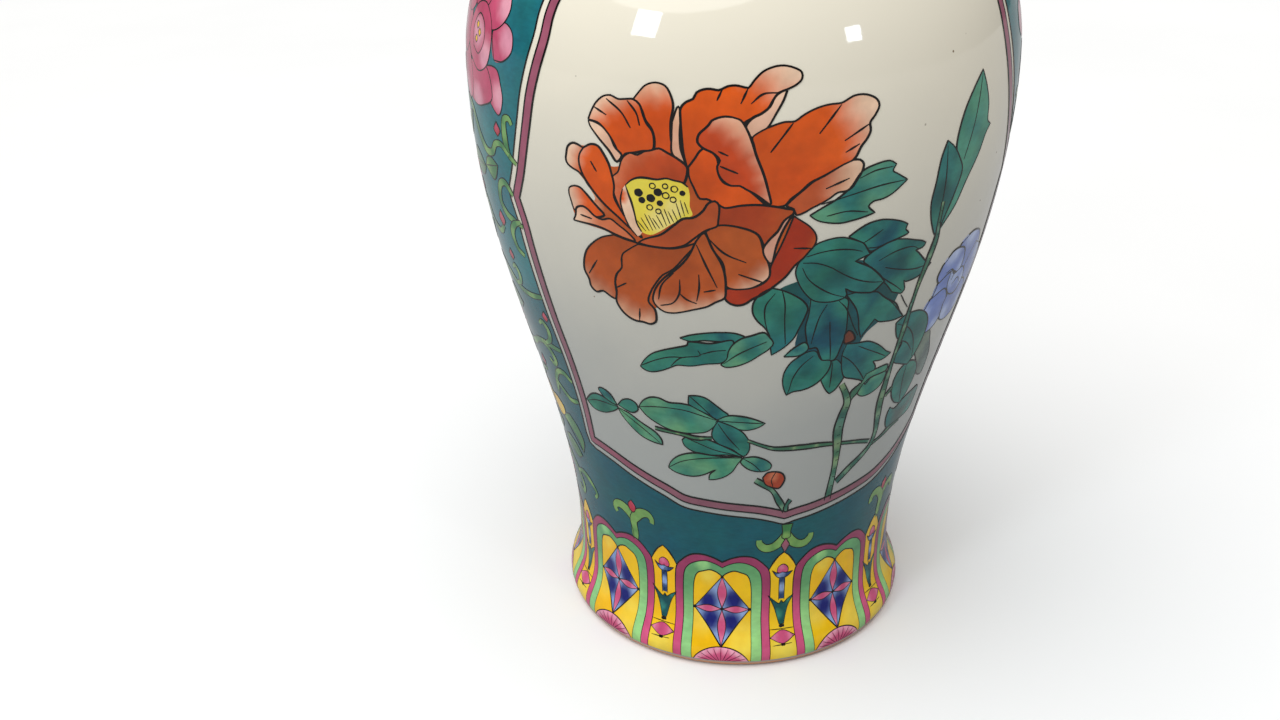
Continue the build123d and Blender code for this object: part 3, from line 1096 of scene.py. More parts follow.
# %% Sprout and tendrils
tendrils = (
    ("-80 55, -80.6 59, -80 66, -82.5 69.5, -87 71.8, -91.5 71.4, -93.2 69, -92 66.8", 4.6),
    ("-80 55, -79.4 59, -80 66, -77.5 69, -73.5 71.8, -69 72, -67.2 69.6, -67.4 67.6", 4.6),
    ("-103.8 226, -108 229, -109.3 237, -108.4 242, -105.6 242.6, -104 240.6", 2.8),
    ("-108 228.5, -113 231.6, -117.5 230.6, -120.6 227, -126 226, -132 230, -140 240, -148 243", 2.8),
    ("-109.6 212.5, -114.4 216.4, -118.6 214.6, -121 207, -117.1 202.7, -112 201.5, -107 200.5", 2.8),
    ("-108 202, -113.5 199.5, -116.5 195, -115 189.3, -110.6 187.3", 2.6),
    ("-150 176, -143 175, -135 172, -124.5 168.4, -115 168.5, -106 170.4", 2.6),
    ("-128 169.6, -123 172, -121.8 176, -124.5 178.6, -127.4 177", 2.4),
    ("-152 142, -142 138.6, -134 140, -127 143.4, -118 145.4, -104 146", 2.6),
    ("-117 145.2, -111 149, -109.6 154, -113 157, -116.4 155", 2.4),
    ("-120 145, -114 142, -112.4 138, -115.4 135.6, -118.4 137.6", 2.4),
    ("-103 131, -108 133.6, -113.5 132.7, -118 128.5, -120.5 123.5, -123.5 118", 2.6),
    ("-119.5 126, -114 122, -109 119.8, -103 121", 2.4),
    ("-157 200, -150 203, -143 200, -138 194, -130 192, -124 196", 2.8),
    ("-157 120, -150 118, -143 121, -138 126, -131 127", 2.6),
    ("-157 84, -149 84, -140 80, -131 74, -127 66, -131 62, -135 65", 3.0),
    ("-131 74, -123 76, -115 74, -110 69, -113 66", 2.6),
    ("-157 256, -150 252, -143 252, -138 258", 2.8),
    ("-157 303, -148 300, -138 302, -128 307, -117 307.4, -108 302, -110 298", 2.8),
    ("-98 300, -88 304, -76 307.4, -64 306, -56 308.4", 2.4),
    ("-45 308, -35 306.6, -25 309.3, -14 309.2", 2.2))


def draw_tendrils(side):
    """The sprout beside the panel's foot with its bud, and the tendrils up the strip."""
    for points, width in tendrils[:2]:
        scroll(path(points), width, side)
    outlined("red", path("-79.6 77.2 c, -82.2 74.6, -81.4 71.4, -79.6 70.4, -78 71.4, -77.2 74.2"),
             bud_red, peony_pink, [(-79, 75, 2)], 0.5, side)
    for points, width in tendrils[2:]:
        scroll(path(points), width, side)


# %% Buds and leaves of the strip
buds = ((-114.6, 236.6, 2.4), (-124.6, 198.6, 3.0), (-124.5, 183.2, 2.3), (-108.6, 160.4, 2.2),
        (-131, 131.4, 2.6), (-146, 206.6, 2.6), (-136, 262.6, 2.4), (-89, 306.6, 2.0))
strip_leaves = ("-157 96, -149 92, -141 93, -135 99 c, -142 101, -150 101",
                "-136 92 c, -130 86, -123 84, -117 87 c, -122 92, -129 94",
                "-128 104 c, -122 101, -116 96, -114 90 c, -110 97, -112 104, -118 109 c, -124 107",
                "-150 160 c, -144 155, -137 155, -131 159 c, -137 163, -144 164",
                "-131 219 c, -124 215, -121 217, -118 222 c, -123 224, -128 223",
                "-150 218 c, -143 213, -136 214, -132 218 c, -138 222, -145 223")
yellow_petals = ("-140 108, -132 103.6, -125 106, -123.6 110.6, -130 113.6, -138 112",
                 "-150 112, -145 107, -139 108, -138 114, -144 118, -150 117")


def draw_buds_and_leaves(side):
    """Red buds, green leaves with one vein, and two loose yellow petals."""
    for x, z, radius in buds:
        bud = [(x, z - radius), (x + radius, z)] + [(x, z + radius * 1.3)] * 2 + [(x - radius, z)]
        outlined("red", bud, bud_red, peony_pink, [(x, z + radius / 2, radius)], 0.5, side)
    for points in strip_leaves:
        shape = path(points)
        outlined("green", shape, scroll_green, scroll_pale, [(*shape[1], 7)], 0.6, side)
        line(mirror([shape[0], shape[len(shape) // 2]], side), 0.5)
    for points in yellow_petals:
        shape = path(points)
        outlined("yellow", shape, sun_yellow, straw, [(*shape[2], 6)], 0.6, side)


# %% The large pink flower
pink_petals = (
    ("-119 247, -112 242.6, -108.6 248.5, -109.3 253.5, -112 259, -122 258, -124 250", (-110, 249)),
    ("-140 245, -132 242.6, -124 244, -116 248, -119 258, -130 260, -140 256", (-130, 245)),
    ("-152 252, -144 243.6, -137 245, -136 256, -142 264, -150 262", (-146, 246)),
    ("-114 262, -108 262.4, -102.8 266.6, -103.4 272.6, -109 275.4, -116 272", (-105, 270)),
    ("-152 278, -157 270, -154 262, -146 260, -140 266, -141 277", (-154, 270)),
    ("-116 290, -109 286, -106.6 280, -110 274.6, -118 272, -124 278, -122 287", (-109, 281)),
    ("-134 297, -124 295, -120 288, -124 279, -134 277, -140 284, -140 292", (-130, 295)),
    ("-150 291, -143 294, -137 289, -137 279, -145 275, -152 281", (-148, 290)),
    ("-137 260, -128 256, -120 259, -117 266, -118 274, -125 280, -134 279, -140 272, -141 265", (-121, 262)),
    ("-134 264, -128 262, -123 267, -124 273, -130 276, -135 271", (-129, 270)))


def draw_pink_flower(side):
    """The flower high in the strip: each petal pales at its own tip, and three dots mark its heart."""
    for points, tip in pink_petals:
        outlined("pink", path(points), peony_pink, peony_pale, [(*tip, 7)], 0.5, side)
    for x, z in ((-131, 267), (-128, 269.5), (-130.5, 272)):
        dot = [(x - 1.5, z), (x, z - 1.4), (x + 1.5, z), (x, z + 1.4)]
        outlined("yellow", dot, sun_yellow, straw, [], 0.4, side)


# %% Both sides of the strip
for side in (1, -1):
    draw_tendrils(side)
    draw_buds_and_leaves(side)
    draw_pink_flower(side)
    for z in (68, 146, 207):
        small_flower(side * half_turn / 2, z, 9.0, 1.0, petals=6)
    for z in (130, 184, 229, 297):
        shape = path(f"""-155 {z - 4} c, -149 {z - 1}, -145 {z + 4}, -142 {z + 9} c,
            -149 {z + 7}, -154 {z + 2}""")
        outlined("green", shape, scroll_green, scroll_pale, [(*shape[2], 6)], 0.5, side)
        line(mirror([shape[0], (-148, z + 3), shape[4]], side), 0.4)

lay_painting("ground", jar_paper, "jar", copies=2, cell=3.2, limit=half_turn / 2)

# %% [markdown]
# ## The peony
# One huge orange flower turned three quarters toward us. Iron red is laid thick at the heart
# and pulled out thin toward each petal's tip, where it fades to peach. Petals are
# listed from the back of the flower to the front, each with its black strokes.

# %% Petals
heart = (-42.0, 224.0)
orange = tint(236, 96, 16)
deep_orange = tint(176, 52, 16)
rust = tint(196, 92, 34)
peach = tint(252, 218, 188)
pollen = tint(238, 224, 84)


def petal(points, strokes=(), colour=orange, pale=peach, fade=(0.5, 1.1), line_width=0.8):
    """A petal that fades from the flower's heart toward its tip."""
    outline = path(points)
    shape = wash("red", outline, colour, pale)
    away = np.hypot(shape[:, 0] - heart[0], shape[:, 1] - heart[1])
    reach = away.max() - away.min()
    painting[-1]["fade"] = (heart, away.min() + fade[0] * reach, away.min() + fade[1] * reach)
    line(outline + outline[:1], line_width, taper=0.7)
    for stroke in strokes:
        line(path(stroke), line_width * 0.85)


print("the flower's heart is at", heart)

# %% Upper petals of the peony
wash("red", path("""-61 233, -68 238.6, -74 238.4, -77 234, -71 226, -68 220, -77 218, -76 211.5,
    -62 207, -62 190, -58 178, -52 178, -48 181, -40 181, -26 187, -14 192, -8 203, -4 216, -10 222,
    -18 240, -28 250, -36 250, -38 240, -50 238"""),
     rust, tint(240, 184, 150), [(-53, 217, 5), (-66, 226, 7), (-70, 216, 5)])
petal("""-53 256.5, -50.5 259.8, -49 261.3, -46 262.2, -43 261.3, -41.3 258.5, -40.5 255, -41.2 250,
    -41.2 245, -40.8 238, -46 238, -46.5 243, -47 247, -49 250, -50 253, -51.5 255.5""", fade=(0.62, 1.1))
petal("""-68.5 248.5, -67.5 251, -65.5 254.5, -63 256.7, -60.5 257.2, -58 256.2, -55.5 256.4,
    -53 256.5, -51 255, -49.8 251.5, -48.8 249, -47 246.5, -46.4 243, -47 240, -50 239.5, -53 238.7,
    -56 238, -57.5 236.5, -59.5 241, -62 245, -65 247.8""",
      ("-62 256, -57 252, -54 247", "-55 256, -52 252, -51 248", "-66.5 253, -62 250.6"),
      fade=(0.6, 1.05))
petal("""-68.5 248.3, -66 247.8, -63.5 246.5, -61 243.5, -59.5 240, -57.2 237.3, -59 235, -61.5 238.5,
    -65 242.5, -68 246.5""", colour=tint(244, 196, 168), fade=(0.2, 0.9))
petal("-40.8 250, -39 255, -38.3 253, -38.5 246, -38.2 241, -37 236, -40.8 239, -41 245",
      colour=tint(244, 196, 168))
petal("""-36.5 235, -37.5 240, -38 246, -38.3 251, -38.2 254.5, -36.5 256.5, -34.5 257.5, -33.5 259.5,
    -31.5 260.5, -29.5 260.7, -27 260.3, -26 260.7, -24.5 261.5, -22 261.8, -19.5 261.2, -18.4 261,
    -16.5 263.5, -14 266, -11 267.3, -8 267.6, -5 266.8, -2.8 265.4, -2.7 263.3, -4.5 261.5,
    -7.2 260.2, -9.5 259.3, -11 257.3, -12.5 254.5, -14.5 252.8, -17 251.5, -20 249, -17 244.5,
    -12 222, -36 232""",
      ("-26 260.5, -27.5 257", "-18.4 261, -20.5 256", "-9.5 259.3, -14 259, -17.5 256"),
      fade=(0.66, 1.0))
petal("""-7 260, -8 257, -10 253, -12.8 248, -15 246.5, -17 245, -19 248.5, -17 251.5, -14.5 252.8, -12 255,
    -10.5 258, -8.5 259.6""", colour=tint(246, 200, 172))
petal("""-12.5 248.2, -10 249.2, -7.5 249.9, -4.5 250, -2.5 251.5, 0 253, 3 254.2, 6 254.8, 9.5 255,
    11 255.7, 13 256.8, 15.5 257.2, 18.5 256.6, 21 255, 21.8 253, 20.5 250, 19 247.8, 19.3 245,
    18.3 242.5, 16.5 240, 15.2 237, 14 235.5, 12 234.5, 8 232.5, 4 230.5, 1 229, -2 226, -5 223.5,
    -6.5 221.5, -11 221.5, -11.8 224, -13 229, -15 236, -16.5 243, -17 245, -15 246.8""",
      ("9.5 254.5, 3 245.5", "-5 249.5, -11.5 240", "19 247.5, 11 242.5", "16 241, 11.5 238.5"),
      fade=(0.6, 0.96))
petal("""14.5 235.7, 16.5 235.5, 17.8 234, 17.5 231.5, 16 228.5, 14.5 226, 12.5 225, 10 224.8, 7.5 223,
    5 221.5, 2 220, -0.5 218.5, -2.8 217.8, -3.8 220, -6 221.3, -4 224, -1 226.8, 2 229.5, 5 231,
    8.5 233, 11.5 234.6""", ("13.5 229.5, 6 226.5",), colour=tint(208, 96, 48), fade=(0.35, 0.95))
petal("""-36 235, -34 238, -32.5 240.5, -31 241.5, -29 240.3, -27.5 238.5, -27 236, -27 233, -25.5 230,
    -23 228.8, -20.5 228.8, -17 226.5, -14 223.5, -12 221, -16 220.8, -20 221.2, -25 220.5, -28 222.5,
    -30.5 224, -32.5 224, -34.5 228, -35.8 231.5""", pale=orange)
petal("""-23 251.8, -20.5 250.8, -18.5 247.5, -17 243.5, -15.5 238.5, -13.5 233, -12 227.5, -11 222,
    -13.5 224, -16 226, -18.5 227.5, -20.5 228.8, -23 228.8, -25.5 230.5, -26.8 232.5, -27.3 235.5,
    -26.5 237.5, -28 239.5, -29.5 240.5, -31.5 241.5, -33.2 243.5, -32.8 246, -31 248, -29.8 249.3,
    -29 250.6, -27 251.6, -25 252""", ("-27 240.5, -24 239", "-26.5 235.5, -21 233"),
      colour=tint(214, 80, 28), pale=tint(246, 196, 166), fade=(0.45, 1.0))
petal("""-60.8 229.7, -58.8 231.5, -58 234, -57 236.5, -54.5 238.5, -52 238, -50 239.3, -47.5 240,
    -45 240.8, -42.5 239.5, -41 238.7, -38.7 237.2, -36.4 235, -36.5 232, -37.5 229, -39 227, -50 226,
    -54 222, -54 213, -52 208, -56 212, -58 216, -60 221, -61 225""", colour=tint(206, 82, 30),
      pale=tint(236, 150, 108), fade=(0.6, 1.3))
petal("""-70.5 238, -72.5 239, -75 239.5, -77 238, -77.8 235.5, -78.2 233, -77.5 231.5, -75.5 230.3,
    -73.5 229.5, -71.5 227.5, -70 225, -66 222""", colour=tint(228, 112, 60), fade=(0.5, 1.0))
petal("""-70.8 238.5, -68 240, -65.5 239.7, -63.5 237, -62 234, -61 230, -60.5 226.5, -60.8 222,
    -59 218, -56.5 213.5, -55.5 211, -60 215, -63.5 218, -66.5 221, -70 225.5, -72 229, -73 233,
    -72.5 236""", ("-68.5 234, -66.5 230.5",), fade=(0.75, 1.3))
petal("""-78.3 220.5, -78 222.8, -76 223.9, -73.5 223.7, -71.5 222, -69.5 219.8, -67 217.2, -65 214.8,
    -68 213.5, -72 213.8, -75 214, -76.8 214.8, -77.6 217.5""", fade=(0.4, 1.1))
petal("""-77.7 210.7, -76.5 213, -75.8 215.8, -73 216.8, -71 215.8, -69 214, -66 213, -63 213.8, -60 211.8,
    -57 209.5, -54.5 206.5, -58 207, -62 208.2, -66 209.6, -70 210.3, -74 210.5""",
      ("-74.5 213.4, -70 212.6",), colour=tint(232, 130, 84), fade=(0.3, 1.0))
print(len(painting), "shapes in the upper half of the flower")

# %% Yellow middle of the peony
wash("red", path("""-57.6 225.6, -56 227.2, -54.8 224, -54.2 218, -53 213, -51.8 210.2, -53.6 208.4,
    -56 211.5, -57.7 216, -58.6 221"""), peach, orange, [(-58.4, 223, 3)])
line(path("-57.6 225.6, -58.6 221, -57.7 216, -56 211.5, -53.6 208.4"), 0.6)
wash("yellow", path("""-56.5 227, -54.5 229, -52.5 230, -50 230.3, -46 230, -43 230.6, -40.3 230,
    -38 229.5, -36.3 228, -35.7 225, -35.8 221, -35 218, -38 216.5, -42 214, -46 211, -49 209.5,
    -52 210.4, -53.4 213.4, -54 217, -54.8 221, -55.8 224.4"""),
     pollen, tint(246, 236, 150), [(-45, 215, 6), (-41, 220, 4)])
line(path("""-56.5 227, -54.5 229, -52.5 230, -50 230.3, -46 230, -43 230.6, -40.3 230, -38 229.5,
    -36.3 228"""), 0.8)
line(path("-56.5 227, -55.8 224.4, -54.8 221, -54 217, -53.4 213.4, -52 210.4"), 0.7)
for x, z, radius in ((-52.2, 224.8, 1.5), (-45.8, 225.5, 1.45), (-48.2, 223.2, 1.5), (-45.3, 221.6, 1.1),
                     (-51.2, 222.2, 1.2), (-38, 225.7, 1.0)):
    wash("black", spot_outline(x, z, radius), ink, step=0.5)
for x, z, radius in ((-43.3, 224.5, 1.1), (-40.5, 227, 1.1), (-41, 223.2, 1.0), (-48.7, 219.8, 1.0),
                     (-47.5, 227.6, 1.0), (-43.4, 227.8, 0.9), (-45.9, 218.6, 0.9)):
    line(spot_outline(x, z, radius), 0.42, closed=True, step=0.5)
fan_lines = 13
for k in range(fan_lines):
    share = k / (fan_lines - 1)
    low = (-50.5 + 14.2 * share, 210.8 + 7.6 * share ** 1.5)
    length = 3.6 + 2.4 * math.sin(2.4 * k) ** 2
    line([low, (low[0] - 1.5 * (1 - share) - 1.2, low[1] + length)], 0.34)
print(len(painting), "shapes with the yellow middle")

# %% Lower petals of the peony
petal("""-3.6 217.5, -1 215.5, 1.5 213.5, 3.5 211, 4.3 208.5, 3.8 206, 2.3 204, 0.5 201.5, -2 199,
    -5 194.5, -8 191.5, -12 188, -15.5 186, -18 184, -20.5 183.3, -23 184, -24.8 186, -24.5 190,
    -20 190, -15 190.8, -11 193.5, -10 199, -7 207, -5 213""", ("-3 205.5, 3 205",), colour=deep_orange,
      pale=rust, fade=(0.7, 1.1))
petal("""-27 222.3, -25.2 221, -20 221.8, -15 222, -10 221.3, -6 220.3, -3.6 219.5, -6 215, -9.5 211,
    -12 207.5, -12.7 205, -11.5 201, -10.3 198, -14.5 211, -18 213, -21 214, -25 214.5, -27.3 214.3""",
      colour=tint(184, 70, 26), pale=rust)
petal("""-62 207.8, -58 206.7, -53.5 205.5, -56 203.5, -59 201, -60.3 198.5, -60.3 195.5, -63 192,
    -64 188.5, -64 185, -64.2 181.5, -66.5 182, -69.5 183.8, -72.5 182.8, -74.5 184.5, -75 188,
    -76.2 191, -75.8 195, -74 199.5, -71 203, -67 206""", ("-74.5 190, -70 196.5",), colour=rust,
      fade=(0.7, 1.25))
petal("""-31 212, -28.5 205, -25.5 200, -24.8 195, -24.3 191, -22 190, -19 190, -16 190.5, -12.5 192.5,
    -10.5 194.5, -10.3 198, -12.5 205, -14.5 211, -20 213.8, -27 214.5""",
      ("-30.5 210, -25 204, -18 200.5", "-20.5 196, -12 192.5"), colour=rust, fade=(0.72, 1.15))
petal("""-53.5 205.5, -57 203, -59.7 200.5, -60.3 197, -60.5 195.2, -62.5 192.5, -63.8 189, -63.8 185,
    -64.5 180.5, -63 177, -60.5 174.5, -57.5 173.3, -55 173.3, -52 172.8, -50 174, -49.5 176,
    -49.8 179.5, -51.8 182.5, -50.5 187, -48.5 190.5, -46 194, -42 197, -38 202, -34 207.5, -38 206,
    -42 205, -48 205""", ("-63.5 186.5, -59.5 189", "-55.5 179, -56.2 173.8"), colour=rust,
      fade=(0.72, 1.15))
petal("""-34 208.5, -37 202, -41 197, -45 193.5, -47.8 190, -49.5 186.5, -50 183, -48.5 180.5,
    -46 178.9, -43 178.8, -40 179.5, -36 180.8, -31 182.5, -28 184.5, -25 186.3, -24.6 190, -24.8 195,
    -26 200, -29 206, -31.5 211.5""",
      ("-34 207, -31 199, -28.5 193, -27.5 190.5", "-33.5 195.5, -33.5 190, -34.5 184.5",
       "-42 195.5, -46.5 190, -48 184", "-40 193, -40.5 187, -43 183, -47.5 181.5",
       "-40.5 187.5, -38 185, -34.5 183.5", "-32 188.5, -28 189.5"), colour=rust, fade=(0.7, 1.1))
petal("""-53.5 206, -51.5 207.5, -49 208.6, -45.5 210, -41.5 213.5, -38 216.5, -35 217, -33 218.3,
    -31.5 220, -30 222.5, -28 223.3, -26.8 222, -27 216, -27.3 214.3, -31 212.5, -34.5 209.5,
    -38 206.5, -42 205.2, -46 205, -50 205.3""", colour=tint(196, 90, 40), pale=tint(232, 146, 104),
      fade=(0.8, 1.4))
petal("""-3.5 218.5, -4.5 217, -6.5 213, -8.5 207, -10 200, -11.5 201.5, -12.8 205.5, -11 209,
    -8.5 212, -6.5 216""", colour=tint(226, 170, 146), pale=tint(206, 170, 152))

lay_painting("peony", jar_paper, "jar", copies=2, cell=2.2)

# %% [markdown]
# ## Leaves, stems and buds
# The leaves are copper green, darker where the brush first touched and lighter at the
# edge, with black veins that were drawn before the colour. Stems are jointed like bamboo and
# ringed with short strokes.

# %% Leaf shapes
teal = tint(14, 90, 98)
jade = tint(48, 130, 116)
moss = tint(96, 160, 126)
slate = tint(74, 96, 88)


def leaf(points, veins=(), colour=teal, pale=jade, line_width=0.62):
    """A leaf with its veins, lighter along one edge and at its tip."""
    outline = path(points)
    shape = wash("leaf", outline, colour, pale)
    middle = shape.mean(axis=0)
    reach = np.linalg.norm(shape - middle, axis=1).max()
    painting[-1]["fade"] = (middle, reach * 0.30, reach * 1.15)
    painting[-1]["spots"] = [(*shape[int(len(shape) * share)], reach * 0.5) for share in (0.12, 0.45, 0.8)]
    line(outline + outline[:1], line_width, taper=0.7)
    for vein in veins:
        line(path(vein), line_width * 0.8)


print("leaf green runs from", [round(c, 2) for c in teal], "to", [round(c, 2) for c in jade])

# %% Leaves under the flower
leaf("62 158, 68 156, 72 150, 77 141, 77 132, 71 134, 66 142, 62 148", colour=slate,
     pale=tint(110, 130, 118))
wash("leaf", path("""-8 188, 5 194, 20 198, 34 193, 40 184, 37 173, 29 166, 25 158, 16 153, 7 158,
    1 164, 1 172, -4 178"""),
     tint(16, 80, 82), teal, [(4, 186, 8), (26, 176, 8), (12, 162, 6)])
leaf("""1.5 217.3, 4 215.3, 8 214, 12 213.5, 16 214, 20 214.8, 23.5 215.8 c, 21 218.5, 22.5 220,
    26 220.5, 29.5 222, 34.5 226 c, 30 229, 28.5 230, 29.5 232.3 c, 27 233.8, 22 233.2, 17.5 231.3,
    14 226, 10 222.5, 5 219.5""",
     ("5 221, 15 223.5, 25 225.5, 34 226", "7 216.6, 14 217.6, 21 216.4", "17 229, 22 231, 28.4 231.6"),
     colour=jade, pale=moss)
leaf("""15.3 207.9, 18.2 210, 21.5 211.8, 26.2 212.6, 31 211.8, 35 210.4, 37.5 209 c, 37 207,
    38.5 205.5, 34 204, 30 203, 24 201, 21 204.5""",
     ("20.5 204.5, 24 206.5, 27.6 208.8", "22.5 202.5, 26.8 202.2, 30.5 203.2"))
leaf("""34 203.8, 38.3 203, 42 201.8, 46 200.5, 47.8 199.4 c, 47 198, 43.5 197.4 c, 45.2 196, 48 193.3,
    50.3 191.2, 53.3 189.7 c, 50.7 187.5, 48 185.7, 44.5 185, 42 185, 41 185.7 c, 42.4 181.5,
    41.5 180.3, 39 181, 36.5 182 c, 33 186, 30 188.5, 27 191.5, 24.5 195, 22 197.5, 24 200, 30 203""",
     ("28 196.5, 32.5 198.4, 37 199.4, 42 199.2, 45 197.5",
      "31.2 193.2, 36.2 191.5, 42 190, 47 189.4, 52 190", "30 190, 33.2 187.4, 37.4 184.4, 41 181.5"))
leaf("""4.5 184.5, 4.4 178, 3.8 173, 4.6 168, 6.3 163, 9 163, 11 159, 12.6 156.5, 17.4 156.2, 19 161,
    20 168, 19 178, 18 183""",
     ("10.8 181.7, 8.7 177, 7.5 171, 6.8 165", "12.8 174, 13.7 168, 15 161, 15.6 156.7"))
leaf("""17.5 184.5, 20 181.3, 22.5 177.6, 24.1 173.5, 25.4 168.3, 27 164.4 c, 28.5 167, 31.5 171.6 c,
    33.5 170, 37 169.2, 41 168.8, 45.5 169.4 c, 43 172, 40.2 176, 37 178.3, 35 179.5, 33 181, 30 183.5,
    27 184, 22 185""",
     ("35 179.5, 38 177, 41.5 173.5, 45 169.8", "15 182.5, 18.2 179, 20.4 175, 22.5 170.7, 25.5 165.7",
      "41.5 179.5, 44 176, 46.7 172.8"))
leaf("""0 201, 4 206, 8 207.6, 13 208, 18 206.2, 21 204.6, 22.5 202.5, 24 200 c, 21 198.9, 18.8 198 c,
    25 194.6, 28 192, 30 190, 32 187.5 c, 28 184, 25 184.2, 22 184.8, 19 185.8, 16.7 187.4 c,
    17.5 184.4, 16 183.2, 12 182.6, 8 183, 5.4 184, 3.3 185.9, 1 189, -0.7 192.4, -1.7 196, -1 199.5""",
     ("0.5 199.5, 5 199, 10 196.9, 15 193.5, 20 190.6, 26 188.4, 31 187.5",
      "1.5 201.8, 6 203, 11 203.5, 17 202.8, 21 201.5", "0.5 197.5, 2.8 193, 7 189, 12 185.8, 17 183.8"),
     colour=tint(28, 104, 98))
leaf("""-9.5 190.3, -13 188, -15.3 184, -15.3 180, -13.5 176.5, -10.8 173.5, -9 170, -8.5 166, -7.8 161.3 c,
    -5 163.2, -2.5 165.3, 0 168.5, 1.3 172, 3.2 177.5, 3.8 181, 2 184, -1 186.5, -5 188.8""",
     ("-6 190, -4.5 184, -4 176, -3 166", "-8 188, -11 183, -11 177, -9.5 171"), colour=tint(36, 118, 104))
leaf("-3 160.2, 0 163.5, 4.5 166, 6 163, 3 160.3", colour=jade, pale=moss)
print(len(painting), "shapes in the foliage so far")

# %% Leaves at the lower left
leaf("""-41.4 168 c, -38 169.5, -33.3 170.7, -27.5 171.5, -21 171.2, -17.5 169.3, -21.7 167.2,
    -26.5 167.5, -32.5 167.7, -38 167""", colour=teal)
leaf("""-59 152.3 c, -57 155.4, -53.2 159.2, -48.2 161.7, -43.2 163.5, -38.8 165.2, -38.5 166.5,
    -30 166.5, -22 168, -24 160, -26 158, -32 157, -38 155.6, -43.5 155.3, -46 154, -50 151.9,
    -54 150.6, -57 150.8""",
     ("-35 163, -34.1 161, -40 159.5, -42 158.8, -44 157, -46 154.5",
      "-58.5 152.8, -52 156.5, -46 158.8, -40 159.4", "-34 161.3, -29 163.1, -24.5 163.7"),
     colour=tint(30, 110, 100))
leaf("""-26.5 157 c, -25 156, -21 156.4, -16 158.6, -12 161.6, -9 164, -7.4 166.6, -9 169.5, -11 171.5,
    -15.5 170.2, -19 169, -22 166.4, -23.7 163, -24.2 160""",
     ("-25.5 157.5, -20 162, -15.2 164.8, -9.8 167.5",), colour=jade, pale=moss)
leaf("""-63.3 131.5 c, -61 134.8, -57 137.5, -53 137.9, -49 136.5, -43 136.7, -38 135.8, -33 133,
    -28.4 130 c, -29.6 126.8, -33 123.7, -38 122.4, -44 121.9, -50 122.6, -55 124.5, -60 127.5""",
     ("-63 131.5, -57 132.9, -50 133.7, -42 133.5, -34 131.4, -29 129.8",), colour=tint(60, 142, 118),
     pale=moss)
leaf("""-40.3 137, -39.9 141 c, -37 141.4, -33 140.6, -29 137.5, -25.7 134.5, -23.6 132.6, -28.4 130 c,
    -33 132.8, -38 135.5""", ("-39.5 141, -34.8 136.2, -29.5 130.5",))
leaf("-28.4 130 c, -24 132.2, -18 132, -12.5 130.4, -8 128.2 c, -11 126.2, -16 125, -21 126, -25 128",
     ("-27 129.5, -18 129, -9 128.3",), colour=jade, pale=moss)
leaf("""-28 129.5, -30.4 125, -30.8 121.3, -28.5 118, -22 115, -16.5 111.5, -14.4 114, -14.3 118.4,
    -16.8 123.2, -21 126.5""", ("-28 128, -24 121.5, -18.6 114.8",), colour=tint(26, 108, 98))
leaf("""-44.6 118, -42.7 119.8, -38 120.1, -33 119.5, -28 117.5, -22 114.5, -16.6 111 c, -24 112,
    -31.5 111.5, -35 112, -40 112.7, -43.7 115.2""",
     ("-43 119.5, -36 116.8, -30 114.4, -22 112.5, -17 111",), colour=tint(36, 116, 104))
leaf("""-53 102 c, -51.6 105, -48 108.6, -43 111, -38 111.9, -33 111.5, -26 111, -17.5 110.5,
    -19.5 107, -21.6 103.4, -25 100.5, -29.5 98.7, -33 98.2 c, -32.5 101, -29.5 103.8 c, -31.5 102.9,
    -35 100.9, -40 99.3, -45 99.2, -50 100.3""",
     ("-52.5 102.3, -46 106.4, -38 108.9, -28 110.3, -17.5 110.5",), colour=tint(50, 134, 114), pale=moss)
leaf("-16.5 110.5, -12 111, -9 110.3, -5.2 108.3, -3.3 106, -4 104, -7 103, -11 103.3, -15 105, -18 108.5",
     ("-16.5 110, -12 107, -8.4 103.3",), colour=jade, pale=moss)
leaf("-75 128.5, -80 130.5, -86 131.4, -90 130, -94.5 126 c, -91 122.7, -85 122.5, -79.5 124.5, -75 127.5",
     ("-94 125.5, -87 128, -75 128.3",), colour=tint(26, 104, 96))
leaf("-75 129, -77.7 134, -81.8 135.7, -84 134.9, -82 131.5, -78 129.5")
leaf("-74.5 129.5, -71 133, -67 134, -64.4 132.5, -64 129.8, -67 127.5, -70.5 128", colour=jade)
leaf("""-75 128, -69 126.4, -64 123.4, -57 119.5, -54.6 116.3, -54.4 113.8 c, -59 114.2, -65 116.2,
    -70 120.2, -73.5 124.5""", ("-74.5 127.5, -68 123.5, -60 118, -55.5 114.5",),
     colour=tint(50, 132, 112), pale=moss)
print(len(painting), "shapes in the foliage so far")

# %% Leaves along the right-hand stems
leaf("""52.5 202, 59.4 210.5, 64 220, 69 228.3, 72 235, 74.4 237.8 c, 72.2 239.4, 71.3 246, 69 252.5,
    66.1 258.3 c, 61.8 253.3, 57.8 246.8, 55.6 240, 55 234.4, 56 228""", ("66 257, 63.5 240, 60 228",),
     colour=jade, pale=tint(84, 160, 132))
leaf("""50.2 236.8 c, 48.3 231, 47.4 222, 46.7 214.3, 49 206, 52.2 201.2, 55 208, 58 216, 60 224.5,
    57.7 229, 54 233.8""", ("50.5 235, 52 222, 52 206",), colour=tint(24, 96, 92))
leaf("57.8 121.7, 57.2 117.8, 58.8 112.5, 61.5 110, 68 111, 80 114, 80 124.5, 75 124.5, 68 123, 62 119.8",
     colour=slate, pale=jade)
leaf("""16.5 155.5, 13.3 148.2, 14.6 144.8, 16.7 141.5, 18.4 139.8 c, 20.4 141, 22 143.4, 23.5 147,
    22.5 151, 18.5 156""", ("17 155, 17.5 149.5, 17.9 142.8",), colour=tint(26, 104, 96))
